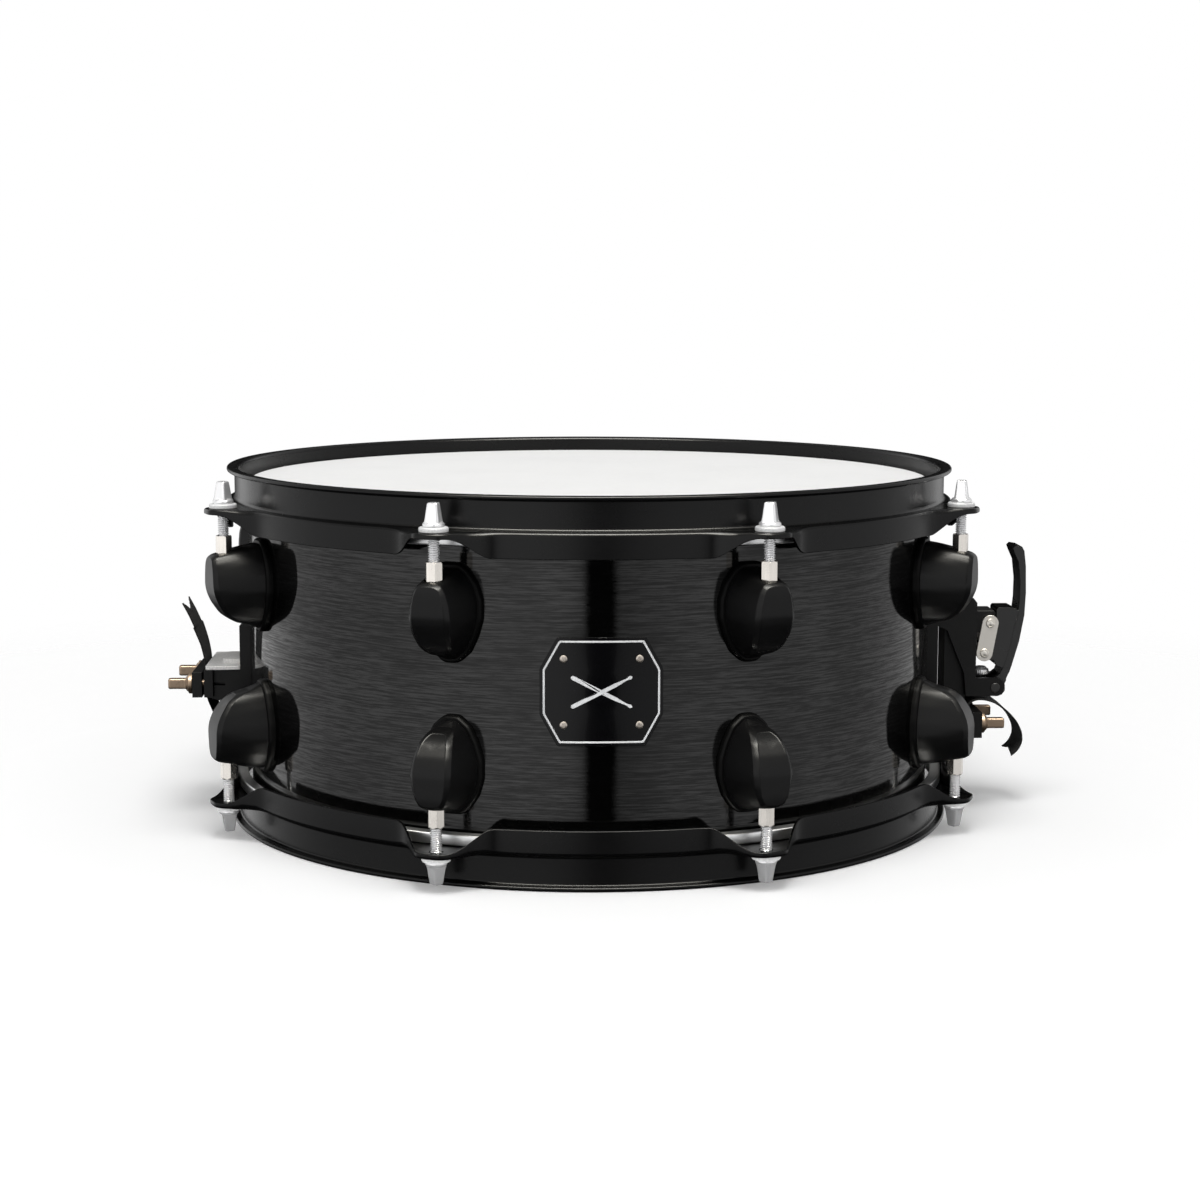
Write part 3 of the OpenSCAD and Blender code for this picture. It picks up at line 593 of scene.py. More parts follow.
def finish_piece(ob, body, *nodes, slot=None, sharp=35, weighted=True):
    if sharp:
        ob.data.set_sharp_from_angle(angle=math.radians(sharp))
    if weighted:
        wn = ob.modifiers.new("normals", "WEIGHTED_NORMAL")
        wn.keep_sharp = True
        wn.weight = 60
    if nodes:
        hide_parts(*nodes)
    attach(ob, body)
    return ob


def cylinder_cutter(soup, M, r, z0, z1, n=32):
    """Adds a closed cylinder along local Z to a cutter."""
    a = np.linspace(0, 2 * np.pi, n, endpoint=False)
    ring = lambda z: np.stack([r * np.cos(a), r * np.sin(a), np.full(n, z)], -1)
    s = Soup()
    s.rings([ring(z0), ring(z1)])
    soup.add(s.moved(M))


AX_R = np.array([[0, 0, 1, 0], [0, 1, 0, 0], [-1, 0, 0, 0], [0, 0, 0, 1]], float)  # local Z to radial X


def at(x, y, z, base=None):
    M = np.eye(4)
    M[:3, 3] = (x, y, z)
    return M if base is None else M @ base


# ------------------------------------------------------------------ shell
def make_shell():
    zb, zt, Ri = 7.55, 172.65, 169.5
    bed = BED
    n = 720
    ang = np.linspace(0, 2 * np.pi, n, endpoint=False)
    outer = [(R, zb + 1.7), (R, MID), (R, zt - 1.7)]
    top = [(R, zt - 1.7), (R - 0.18, zt - 0.95), (R - 0.75, zt - 0.28), (R - 1.5, zt), (R - 1.9, zt)]
    bevel = [(R - 1.9, zt), (R - 2.2, zt - 0.15), (Ri + 0.2, zt - 5.1), (Ri, zt - 5.5)]
    inner = [(Ri, zt - 5.5), (Ri, MID), (Ri, zb + 5.5)]
    parts = [(outer, 0), (top, 0), (bevel, 2), (inner, 1), ([(r, H - z) for r, z in bevel[::-1]], 2), ([(r, H - z) for r, z in top[::-1]], 0)]
    prof, mat = [], []
    for pts, k in parts:
        for p in pts[:-1]:
            prof.append(p)
            mat.append(k)
    G = lathe_grid(prof, ang)
    # snare beds
    x, y, z = G[..., 0], G[..., 1], G[..., 2]
    cut = zb + bed - 706 + np.sqrt(706 ** 2 - y ** 2)
    lift = np.where(np.abs(x) > 120, np.clip(cut - zb, 0, None), 0)
    G[..., 2] = np.where(z < 16, z + lift * np.clip((16 - z) / 8.0, 0, 1), z)
    s = Soup()
    o = s.grid(G, True, True)
    npf = len(prof)
    s.m = [mat[k % npf] for k in range(len(s.f))]
    ob = s.make("drum_shell", [M_SHELL, M_INSIDE, M_PLY])
    cut = Soup()
    cylinder_cutter(cut, polar_matrix(180) @ at(160, 0, MID) @ AX_R, 6.0, 0, 30, 40)
    boolean_cut(ob, cut.make("c", M_SHELL))
    finish_piece(ob, "drum", "shell", slot="stained_shell", sharp=32)
    return ob


BED = 1.6
make_shell()


# ------------------------------------------------------------------ heads and flesh hoops
def make_head(name, nodes, mat, flip, body="drum"):
    zt = 172.65
    prof = [(0.02, zt + 0.33), (40, zt + 0.33), (90, zt + 0.33), (140, zt + 0.33), (165, zt + 0.33), (R - 4, zt + 0.33), (R - 1.7, zt + 0.32),
            (R - 0.9, zt + 0.2), (R - 0.1, zt - 0.45), (R + 0.55, zt - 1.6), (R + 0.95, zt - 3.2), (R + 1.35, zt - 5.5), (R + 2.0, H - 18.0), (R + 2.7, H - 17.9),
            (R + 2.75, H - 18.3), (R + 1.9, H - 18.4), (R + 1.1, zt - 5.4), (R + 0.3, zt - 1.7), (R - 1.2, zt + 0.02), (165, zt + 0.05), (0.02, zt + 0.05)]
    G = lathe_grid(prof, np.linspace(0, 2 * np.pi, 360, endpoint=False))
    if flip:
        G[..., 2] = H - G[..., 2]
    s = Soup()
    s.grid(G, True, False)
    ob = s.make(name, mat, weld=0.5)
    finish_piece(ob, body, *nodes, slot="clear_film" if flip else "coated_film", sharp=50, weighted=False)
    return ob


def make_flesh(name, node_, flip):
    prof = fillet([(R + 2.2, H - 18.4), (R + 8.0, H - 18.4), (R + 8.0, H - 23.8), (R + 2.2, H - 23.8)], [0.7, 0.8, 0.8, 0.7], 4)
    G = lathe_grid(prof, np.linspace(0, 2 * np.pi, 360, endpoint=False))
    if flip:
        G[..., 2] = H - G[..., 2]
    s = Soup()
    s.grid(G, True, True)
    ob = s.make(name, M_ALU)
    finish_piece(ob, "drum", node_, slot="flesh_hoop_aluminium", sharp=50, weighted=False)
    return ob


make_head("batter_film", ["batter_head"], M_HEAD, False)
make_head("snare_side_film", ["snare_side_head"], M_CLEAR, True)
make_flesh("batter_flesh_ring", "batter_flesh_hoop", False)
make_flesh("snare_side_flesh_ring", "snare_side_flesh_hoop", True)


# ------------------------------------------------------------------ triple-flanged hoops
def ear_reach(t):
    """How far the shoulder reaches beyond the skirt, by distance along the rim from the ear's middle."""
    fine_t = np.arange(-45, 45.01, 0.1)
    pts = np.array([[0, 17.8], [4.9, 17.6], [6.5, 16.6], [9, 13.4], [12, 9.8], [16, 5.8], [20, 2.7], [24, 1.0], [28, 0.25], [33, 0.0], [60, 0.0]])
    raw = np.interp(np.abs(fine_t), pts[:, 0], pts[:, 1])
    k = np.exp(-0.5 * (np.arange(-40, 41) * 0.1 / 1.5) ** 2)
    sm = np.convolve(np.pad(raw, 40, mode="edge"), k / k.sum(), mode="valid")
    return np.interp(t, fine_t, sm, left=0, right=0)


def make_hoop(name, node_, flip):
    # angles: close together across each ear
    near = np.concatenate([np.arange(-36, -3, 0.75), np.arange(-3, 3.01, 1.0), np.arange(3.75, 36.1, 0.75)])
    ang = []
    for a in LUG_ANGLES:
        ang.extend((math.radians(a) + near / HO).tolist())
        gap = math.radians(45) - 72 / HO
        k = 30
        ang.extend([math.radians(a) + 36 / HO + gap * (j + 1) / (k + 1) for j in range(k)])
    ang = np.array(ang)
    d = np.min(np.abs((ang[:, None] - np.radians(LUG_ANGLES)[None, :] + np.pi) % (2 * np.pi) - np.pi), axis=1)
    reach = ear_reach(d * HO)
    rows = []
    rise = np.clip((24.0 - d * HO) / 17.0, 0, 1)
    rise = rise * rise * (3 - 2 * rise)
    for a, q, q_low in zip(ang, reach, rise):
        ro = HO + q
        low = H - 28.4 + 9.6 * q_low
        sec = [(HW - 2, H - 18.2), (HW - 2, H), (HO - 0.2, H), (HO - 0.2, H - 2.1), (HW, H - 2.1), (HW, H - 16.2), (ro, H - 16.2), (ro, low), (ro - 2, low), (ro - 2, H - 18.2)]
        rad = [1.0, 1.9, 1.0, 0.85, 0.9, 1.7, 3.2, 0.35, 0.35, 0.6]
        rows.append(fillet(sec, rad, 5))
    P = np.array(rows)
    G = np.stack([P[..., 0] * np.sin(ang)[:, None], -P[..., 0] * np.cos(ang)[:, None], P[..., 1]], -1)
    if flip:
        G[..., 2] = H - G[..., 2]
    s = Soup()
    s.grid(G, True, True)
    ob = s.make(name, M_HOOP)
    cut = Soup()
    for a in LUG_ANGLES:
        cylinder_cutter(cut, polar_matrix(a) @ at(ROD_R, 0, (H - 22) if not flip else 12), 3.3, 0, 10, 32)
    if flip:
        for a in (90, -90):
            b = Soup()
            out = fillet([(-32, 3.4), (32, 3.4), (32, 14.4), (-32, 14.4)], 1.6, 4)
            b.rings([[(HW - 6, y, z) for y, z in out], [(HW + 1.5, y, z) for y, z in out]])
            cut.add(b.moved(polar_matrix(a)))
    boolean_cut(ob, cut.make("c", M_HOOP))
    finish_piece(ob, "drum", node_, slot="hoop_black", sharp=38)
    return ob


make_hoop("batter_rim", "batter_hoop", False)
make_hoop("snare_side_rim", "snare_side_hoop", True)


# ------------------------------------------------------------------ lugs
def outline_round(x0, y0, x1, y1, rl, ru, n):
    """Closed outline from the bottom middle, anticlockwise, evenly spaced."""
    pts = [(0.0, y0)]
    for cx, cy, r, a0 in ((x1 - rl, y0 + rl, rl, -90), (x1 - ru, y1 - ru, ru, 0), (x0 + ru, y1 - ru, ru, 90), (x0 + rl, y0 + rl, rl, 180)):
        for k in range(13):
            t = math.radians(a0 + 90 * k / 12)
            pts.append((cx + r * math.cos(t), cy + r * math.sin(t)))
    return resample(pts, n)


def egg(half, n, soft=1.2):
    """Closed symmetric outline, evenly spaced, from half-widths and heights given from the bottom middle to the top middle."""
    h = np.array(half, float)
    pts = np.concatenate([h, (h * [-1, 1])[::-1][1:-1]])
    fine = resample(pts, 720)
    L = np.linalg.norm(np.diff(np.vstack([fine, fine[:1]]), axis=0), axis=1).sum() / 720
    w = max(1, int(3 * soft / L))
    k = np.exp(-0.5 * (np.arange(-w, w + 1) * L / soft) ** 2)
    k /= k.sum()
    sm = np.stack([np.convolve(np.concatenate([fine[-w:, i], fine[:, i], fine[:w, i]]), k, "valid") for i in (0, 1)], -1)
    return resample(sm, n)


GASKET = [(0, 12.0), (3.6, 12.2), (9.3, 17.0), (12.9, 24.5), (15.3, 32.5), (15.3, 41.5), (12.9, 49.3), (8.6, 55.6), (5.0, 58.2), (0, 58.3)]
BODY = [(0, 13.9), (3.0, 14.1), (7.9, 18.6), (11.2, 25.4), (13.3, 33.2), (13.3, 41.0), (11.2, 48.0), (7.6, 53.6), (4.4, 56.0), (0, 56.1)]
FACE = [(0, 18.4), (3.3, 18.5), (4.9, 20.2), (6.1, 23.4), (7.0, 28.6), (7.5, 34.5), (7.3, 40.5), (6.4, 45.6), (5.0, 48.6), (3.0, 49.5), (0, 49.8)]


def make_lug():
    n = 120
    base = egg(BODY, n, 1.0)
    face = egg(FACE, n, 0.5)
    side = np.array([[14.3, 1.0], [15.2, 8], [17.2, 14], [19.4, 17.6], [21.6, 20.8], [27.6, 24.8], [32, 26.6], [36, 27.3], [47.2, 27.3], [50.2, 27.0], [56, 26.9]])
    fz = np.linspace(14, 56, 421)
    fx = np.interp(fz, side[:, 0], side[:, 1])
    k = np.exp(-0.5 * (np.arange(-20, 21) * 0.1 / 0.9) ** 2)
    fx = np.convolve(np.pad(fx, 20, mode="edge"), k / k.sum(), mode="valid")
    depth = lambda z: R + np.interp(z, fz, fx)
    xf = depth(face[:, 1])
    xb = np.sqrt((R + 3.2) ** 2 - base[:, 0] ** 2)
    # the shoulder where the side wall turns into the broad chamfer round the face
    shoulder = np.stack([face[:, 0] * (1.34 - 0.16 * np.clip((face[:, 1] - 36) / 14, 0, 1)), 34.5 + (face[:, 1] - 34.5) * 1.125], -1)
    xs = np.minimum(depth(np.clip(shoulder[:, 1], 14, 56)), xf) - 2.1
    rings = []
    def ring(x, o):
        rings.append(np.stack([x, o[:, 0], o[:, 1] + MID], -1))
    for t in (0.0, 0.05, 0.18, 0.34, 0.5, 0.66, 0.8, 0.9, 0.965):
        g = t ** 1.35
        ring(xb + (xs - xb) * t, base + (shoulder - base) * g)
    for e in (0.0, 0.12, 0.5, 0.86, 0.96):
        ring(xs + (xf - xs) * math.sin(math.radians(90 * e)) if e < 1 else xf, shoulder + (face - shoulder) * (e * 0.98 + 0.02 * e * e))
    ring(xf, face)
    spine_lo, spine_hi = 26.0, 43.0
    for f in (0.95, 0.8, 0.6, 0.35, 0.12):
        zz = np.clip(face[:, 1], spine_lo, spine_hi)
        y = face[:, 0] * f
        z = zz + (face[:, 1] - zz) * f
        rings.append(np.stack([depth(z), y, z + MID], -1))
    s = Soup()
    P = np.array(rings)
    o = s.grid(P, False, True)
    nv = n
    s.f.append([o + k for k in range(nv)][::-1])
    s.m.append(0)
    last = o + (len(P) - 1) * nv
    h = nv // 2
    for k in range(h):
        a, b2 = last + k, last + k + 1
        c, d2 = last + (nv - k - 1) % nv, last + (nv - k) % nv
        if k == 0:
            s.f.append([a, b2, c])
        elif k == h - 1:
            s.f.append([a, b2, d2])
        else:
            s.f.append([a, b2, c, d2])
        s.m.append(0)
    ob = s.make("lug", M_LUG)
    cut = Soup()
    cylinder_cutter(cut, at(ROD_R, 0, MID + 28.9), 5.02, 0, 22.1, 40)
    cylinder_cutter(cut, at(ROD_R, 0, MID + 50.8), 4.6, 0, 20, 40)
    boolean_cut(ob, cut.make("c", M_LUG))
    return ob


LUG_M = [polar_matrix(a) for a in LUG_ANGLES]
lug = make_lug()
lug2 = lug.copy()
lug2.data = lug.data.copy()
scene.collection.objects.link(lug2)
finish_piece(copies(lug, "upper_lug_bodies", LUG_M), "drum", "upper_lug_casings", slot="lug_black", sharp=24)
finish_piece(copies(lug2, "lower_lug_bodies", [FLIP @ M for M in LUG_M]), "drum", "lower_lug_casings", slot="lug_black", sharp=24)


def make_gasket():
    n = 120
    big = egg(GASKET, n, 0.9)
    mid_ = egg([(y * (1 - 1.2 / 15.3), 35.1 + (z - 35.1) * (1 - 1.2 / 23)) for y, z in GASKET], n, 0.9)
    small = egg([(y * (1 - 3.4 / 15.3), 35.1 + (z - 35.1) * (1 - 3.4 / 23)) for y, z in GASKET], n, 0.9)
    rings = []
    for e, h in ((0.0, 0.06), (0.0, 1.5), (0.18, 2.2), (0.5, 2.8), (0.82, 3.1), (1.0, 3.18)):
        o = big + (mid_ - big) * e
        rings.append(np.stack([np.sqrt((R + h) ** 2 - o[:, 0] ** 2), o[:, 0], o[:, 1] + MID], -1))
    rings.append(np.stack([np.sqrt((R + 3.18) ** 2 - small[:, 0] ** 2), small[:, 0], small[:, 1] + MID], -1))
    rings.append(np.stack([np.sqrt((R + 0.06) ** 2 - small[:, 0] ** 2), small[:, 0], small[:, 1] + MID], -1))
    s = Soup()
    s.grid(np.array(rings), True, True)
    return s.make("gasket", M_RUBBER)


for nm, nd, ms in (("upper_gasket_pads", "upper_lug_gaskets", LUG_M), ("lower_gasket_pads", "lower_lug_gaskets", [FLIP @ M for M in LUG_M])):
    finish_piece(copies(make_gasket(), nm, ms), "drum", nd, slot="gasket_rubber", sharp=60)


def make_nut():
    """Swivel nut: barrel in the lug, six-sided sleeve with a chamfered mouth above it."""
    s = Soup()
    prof = [(2.82, 29.0), (4.55, 29.0), (4.92, 29.4), (4.92, 49.9), (4.6, 50.55), (3.9, 50.6), (2.82, 50.6)]
    a = np.linspace(0, 2 * np.pi, 48, endpoint=False)
    P = [np.stack([r * np.cos(a), r * np.sin(a), np.full(48, z + MID)], -1) for r, z in prof]
    s.grid(np.array(P), True, True)
    # sleeve: hexagon blended to a circle at its mouth
    af = 7.0
    hexr = (af / 2) / np.cos(((a + math.pi / 6) % (math.pi / 3)) - math.pi / 6)
    rows = []
    for f, z in ((0.0, 50.0), (0.0, 51.0), (0.0, 59.8)):
        rows.append((hexr, z))
    for z, cap in ((60.0, 4.0), (60.35, 3.86), (60.5, 3.7)):
        rows.append((np.minimum(hexr, cap), z))
    rows.append((np.full(48, 3.2), 60.5))
    rows.append((np.full(48, 2.95), 60.3))
    rows.append((np.full(48, 2.82), 59.8))
    rows.append((np.full(48, 2.82), 50.0))
    P = [np.stack([r * np.cos(a), r * np.sin(a), np.full(48, z + MID)], -1) for r, z in rows]
    s.grid(np.array(P), True, True)
    return s.make("nut", M_NICKEL)


NUT_M = [polar_matrix(a) @ at(ROD_R, 0, 0) for a in LUG_ANGLES]
for nm, nd, ms in (("upper_nut_sleeves", "upper_swivel_nuts", NUT_M), ("lower_nut_sleeves", "lower_swivel_nuts", [FLIP @ M for M in NUT_M])):
    finish_piece(copies(make_nut(), nm, ms), "drum", nd, slot="nut_nickel", sharp=25)


def make_washer():
    prof = fillet([(2.95, 0.0), (6.75, 0.0), (6.75, 2.3), (2.95, 2.3)], [0.25, 0.45, 0.9, 0.35], 5)
    s = Soup()
    a = np.linspace(0, 2 * np.pi, 56, endpoint=False)
    P = np.array([np.stack([r * np.cos(a), r * np.sin(a), np.full(56, z + H - 16.15)], -1) for r, z in prof])
    s.grid(P, True, True)
    return s.make("washer", M_NYLON)


for nm, nd, ms in (("upper_nylon_washers", "upper_rod_washers", NUT_M), ("lower_nylon_washers", "lower_rod_washers", [FLIP @ M for M in NUT_M])):
    finish_piece(copies(make_washer(), nm, ms), "drum", nd, slot="nylon_white", sharp=45)


# ------------------------------------------------------------------ tension rods
def make_rod():
    s = Soup()
    n = 24
    a = np.linspace(0, 2 * np.pi, n, endpoint=False)
    pitch = 1.058
    z0, z1 = MID + 31, H - 17.5
    zs = np.arange(z0, z1, pitch / 8)
    ph = (zs[:, None] / pitch - a[None, :] / (2 * np.pi)) % 1.0
    tri = np.abs(ph - 0.5) * 2
    r = 2.0 + 0.75 * np.clip(tri * 1.2 - 0.1, 0, 1)
    env = np.clip((zs - z0) / 1.2, 0, 1)[:, None] * np.clip((z1 - zs) / 1.5, 0, 1)[:, None]
    r = 2.0 + (r - 2.0) * env + (1 - np.clip((z1 - zs) / 1.5, 0, 1)[:, None]) * 0.7
    G = np.stack([r * np.cos(a), r * np.sin(a), np.broadcast_to(zs[:, None], r.shape)], -1)
    ring = lambda rr, z: np.stack([rr * np.cos(a), rr * np.sin(a), np.full(n, z)], -1)
    top = [ring(2.72, z1), ring(2.72, H - 13.85), ring(4.7, H - 13.8), ring(5.05, H - 13.6), ring(5.1, H - 13.3), ring(5.1, H - 12.6), ring(4.95, H - 12.3), ring(4.3, H - 11.75), ring(3.6, H - 11.6)]
    G = np.concatenate([ring(1.6, z0 - 0.05)[None], G, np.array(top)])
    s.rings(G)
    # square head: superellipse rings, slightly tapered, with a rounded end
    m = 48
    b = np.linspace(0, 2 * np.pi, m, endpoint=False) + math.pi / m
    def sq(w, z, c=0.42, cap=99.0):
        h = w / 2
        e = 9.0
        rr = h / (np.abs(np.cos(b)) ** e + np.abs(np.sin(b)) ** e) ** (1 / e)
        rr = np.minimum(rr, cap)
        return np.stack([rr * np.cos(b), rr * np.sin(b), np.full(m, z)], -1)
    rows = [sq(7.3, H - 11.9), sq(6.9, H - 11.2), sq(6.4, H - 9.8), sq(5.5, H - 6.2), sq(4.9, H - 4.0), sq(4.7, H - 3.5, cap=3.1), sq(4.4, H - 3.18, cap=2.75), sq(3.8, H - 3.03, cap=2.3), sq(3.0, H - 3.0, cap=1.8)]
    t = Soup()
    t.rings(rows)
    s.add(t)
    return s.make("rod", M_CHROME)


TURNS = [48, 8, 31, -17, 22, 63, 37, 5]
rod_mesh = make_rod()
rod_mesh.data.set_sharp_from_angle(angle=math.radians(38))
for lower in (False, True):
    for i, a in enumerate(LUG_ANGLES):
        nm = "%s_%d" % ("lower" if lower else "upper", i + 1)
        ob = bpy.data.objects.new("key_rod_" + nm, rod_mesh.data)
        scene.collection.objects.link(ob)
        turn = math.radians(TURNS[(i + (3 if lower else 0)) % 8])
        spin = np.eye(4)
        spin[:2, :2] = [[math.cos(turn), -math.sin(turn)], [math.sin(turn), math.cos(turn)]]
        M = polar_matrix(a) @ at(ROD_R, 0, 0) @ spin
        if lower:
            M = polar_matrix(a) @ at(ROD_R, 0, 0) @ at(0, 0, H, np.diag([1.0, -1.0, -1.0, 1.0])) @ spin
        W = Matrix(M.tolist())
        W.translation = W.translation * MM
        ob.matrix_world = W
        finish_piece(ob, "rod_" + nm, "tension_rod_" + nm, slot="rod_chrome", sharp=0, weighted=False)
bpy.data.objects.remove(rod_mesh, do_unlink=True)


# ------------------------------------------------------------------ badge
def on_shell(y, z, h):
    """Flat badge coordinates wrapped on the shell at height h above it."""
    a = y / R
    return np.stack([(R + h) * np.sin(a), -(R + h) * np.cos(a), z + MID + 0.5], -1)


def wrapped_plate(soup, outline, h0, h1, edge=0.25, mat=0, sub=1.2):
    """Closed plate with a rounded edge from an outline in flat badge coordinates."""
    o = np.asarray(outline, float)
    c = o.mean(0)
    d = o - c
    L = np.linalg.norm(d, axis=1, keepdims=True)
    rings = [on_shell(o[:, 0], o[:, 1], h0), on_shell(o[:, 0], o[:, 1], h1 - edge)]
    for k in (1, 2, 3):
        t = math.radians(30 * k)
        q = o - d / L * edge * (1 - math.cos(t))
        rings.append(on_shell(q[:, 0], q[:, 1], h1 - edge + edge * math.sin(t)))
    for f in (0.85, 0.6, 0.35, 0.12):
        q = c + d * f
        rings.append(on_shell(q[:, 0], q[:, 1], h1))
    s = Soup()
    s.rings(rings, mat)
    soup.add(s)


def stick_outline(L, r, head):
    """Half-width profile of a drumstick lying along X."""
    xs = np.array([-L, -L + 0.3, -L + 1.2, L * 0.45, L * 0.80, L * 0.86, L * 0.93, L * 0.985, L])
    ws = np.array([0.05, r * 0.8, r, r * 0.92, r * 0.42, r * 0.52, head, head * 0.6, 0.05])
    X = np.linspace(-L, L, 60)
    W = np.interp(X, xs, ws)
    return np.concatenate([np.stack([X, -W], -1), np.stack([X[::-1][1:-1], W[::-1][1:-1]], -1)])


def badge():
    s = Soup()
    octo = [(-20, -25), (20, -25), (28, -10.5), (28, 10.5), (20, 25), (-20, 25), (-28, 10.5), (-28, -10.5)]
    wrapped_plate(s, resample(fillet(octo, 0.8, 4), 160), 0.06, 1.05, 0.3, 0)
    # raised border line
    def frame_line(inset, w, h, mat):
        k_out, k_in = np.array(octo, float), np.array(octo, float)
        def inset_poly(p, d):
            p = np.array(p, float)
            out = []
            for i in range(len(p)):
                a, b, c = p[i - 1], p[i], p[(i + 1) % len(p)]
                n1 = np.array([-(b - a)[1], (b - a)[0]]) / np.linalg.norm(b - a)
                n2 = np.array([-(c - b)[1], (c - b)[0]]) / np.linalg.norm(c - b)
                m_ = (n1 + n2) / np.linalg.norm(n1 + n2)
                out.append(b + m_ * d / (m_ @ n1))
            return np.array(out)
        o = resample(inset_poly(octo, inset), 160)
        i_ = resample(inset_poly(octo, inset + w), 160)
        m_ = (o + i_) / 2
        rings = [on_shell(o[:, 0], o[:, 1], 1.0), on_shell(o[:, 0] * 0.9 + m_[:, 0] * 0.1, o[:, 1] * 0.9 + m_[:, 1] * 0.1, h * 0.8), on_shell(m_[:, 0], m_[:, 1], h),
                 on_shell(i_[:, 0] * 0.9 + m_[:, 0] * 0.1, i_[:, 1] * 0.9 + m_[:, 1] * 0.1, h * 0.8), on_shell(i_[:, 0], i_[:, 1], 1.0)]
        t = Soup()
        t.grid(np.array(rings), True, True, mat)
        s.add(t)
    frame_line(1.4, 1.05, 1.28, 1)
    # two crossed sticks, a plain drawing of what the object is for
    for ang in (27, -27):
        o = stick_outline(15.5, 0.95, 0.85)
        c, sn = math.cos(math.radians(ang)), math.sin(math.radians(ang))
        o = np.stack([o[:, 0] * c - o[:, 1] * sn, o[:, 0] * sn + o[:, 1] * c], -1)
        half = len(o) // 2
        t = Soup()
        lo = on_shell(o[:, 0], o[:, 1], 1.0)
        hi = on_shell(o[:, 0], o[:, 1], 1.22 if ang > 0 else 1.16)
        t.rings([lo, hi], 1)
        s.add(t)
    ob = s.make("badge_plate", [M_BADGE, M_BADGE_LINE])
    finish_piece(ob, "drum", "badge", slot="badge_enamel", sharp=30)


badge()


def button_screw(soup, M, r_head, h_head, r_shank, depth, slot_w=0.7):
    """Round-headed screw along local Z, head above 0, without a slot."""
    n = 40
    a = np.linspace(0, 2 * np.pi, n, endpoint=False)
    ring = lambda rr, z: np.stack([rr * np.cos(a), rr * np.sin(a), np.full(n, z)], -1)
    prof = [(r_shank * 0.6, -depth), (r_shank, -depth + 0.5), (r_shank, -0.05), (r_head * 0.93, -0.02), (r_head, 0.10), (r_head, h_head * 0.45), (r_head * 0.93, h_head * 0.72), (r_head * 0.75, h_head * 0.92), (r_head * 0.5, h_head), (r_head * 0.2, h_head)]
    s = Soup()
    s.rings([ring(r, z) for r, z in prof])
    soup.add(s.moved(M))


def badge_pins():
    s = Soup()
    for a in (-5.55, 5.55):
        for z in (-15.2, 15.2):
            button_screw(s, polar_matrix(a) @ at(R + 1.15, 0, MID + 0.5 + z) @ AX_R, 1.8, 0.85, 0.8, 4)
    ob = s.make("badge_pins", M_PIN)
    for rot in (20, 110):
        cut = Soup()
        c, sn = math.cos(math.radians(rot)), math.sin(math.radians(rot))
        for a in (-5.55, 5.55):
            for z in (-15.2, 15.2):
                b = Soup()
                b.rings([[(R + h, y * c - w * sn, MID + 0.5 + z + y * sn + w * c) for y, w in ((-1.05, -0.2), (1.05, -0.2), (1.05, 0.2), (-1.05, 0.2))] for h in (1.62, 3.0)])
                cut.add(b.moved(polar_matrix(a)))
        boolean_cut(ob, cut.make("c", M_PIN))
    print("badge pins", len(ob.data.vertices), [round(v / MM, 2) for v in ob.bound_box[0]], [round(v / MM, 2) for v in ob.bound_box[6]])
    finish_piece(ob, "drum", "badge_screws", slot="bronze_screws", sharp=32)


badge_pins()


# ------------------------------------------------------------------ strainer hardware from the CAD solids, finished
def ride_refined(name, node_, mat, body, bevel=0.45, angle=28, seg=3):
    ob = refined(name, node_, mat, bevel, angle, seg)
    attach(ob, body)
    return ob


ride_refined("throwoff_casting", "throwoff_frame", M_CAST, "drum", 0.6)
ride_refined("carriage_casting", "snare_carriage", M_CAST, "carriage", 0.6)
ride_refined("throwoff_clamp", "throwoff_clamp_plate", M_CAST, "carriage", 0.6)
ride_refined("butt_casting", "butt_plate", M_CAST, "drum", 0.7)


def butt_cover():
    """Bright pressed cover on the top of the butt bracket, with the folded tab behind it."""
    s = Soup()
    def slab(pts, z0, z1, r):
        o = fillet(pts, [r] * len(pts), 5)
        shrink = lambda e: [(cx + (x - cx) * (1 - e), cy + (y - cy) * (1 - e)) for x, y in o]
        cx, cy = np.mean([p[0] for p in pts]), np.mean([p[1] for p in pts])
        rows = [[(x, y, z) for x, y in ring] for ring, z in ((o, z0), (o, z1 - 0.25), (shrink(0.006), z1 - 0.07), (shrink(0.016), z1))]
        t = Soup()
        t.rings(rows)
        s.add(t)
    slab([(R + 3.2, -22.6), (R + 21.9, -24.0), (R + 21.9, 24.0), (R + 3.2, 22.6)], 75.2, 77.0, 2.2)
    slab([(R + 3.4, -13.0), (R + 14.5, -12.0), (R + 14.5, 12.0), (R + 3.4, 13.0)], 76.8, 79.0, 1.8)
    ob = s.moved(XN).make("butt_bracket_cover", M_COVER)
    finish_piece(ob, "drum", "butt_plate", slot="zinc_steel", sharp=35)


XP, XN = polar_matrix(90), polar_matrix(-90)
butt_cover()
ride_refined("butt_clamp", "butt_clamp_plate", M_CAST, "drum", 0.6)
ride_refined("lever_blade", "throwoff_lever", M_LEVER, "lever", 0.9)
ride_refined("link_plates", "toggle_links", M_LINK, "link", 0.25)
ride_refined("pivot_pin", "lever_pivot_pin", M_OXIDE, "drum", 0.35)
ride_refined("end_plate_throwoff", "snare_end_plate_throwoff", M_ZINC, "wires", 0.25)
ride_refined("end_plate_butt", "snare_end_plate_butt", M_ZINC, "wires", 0.25)


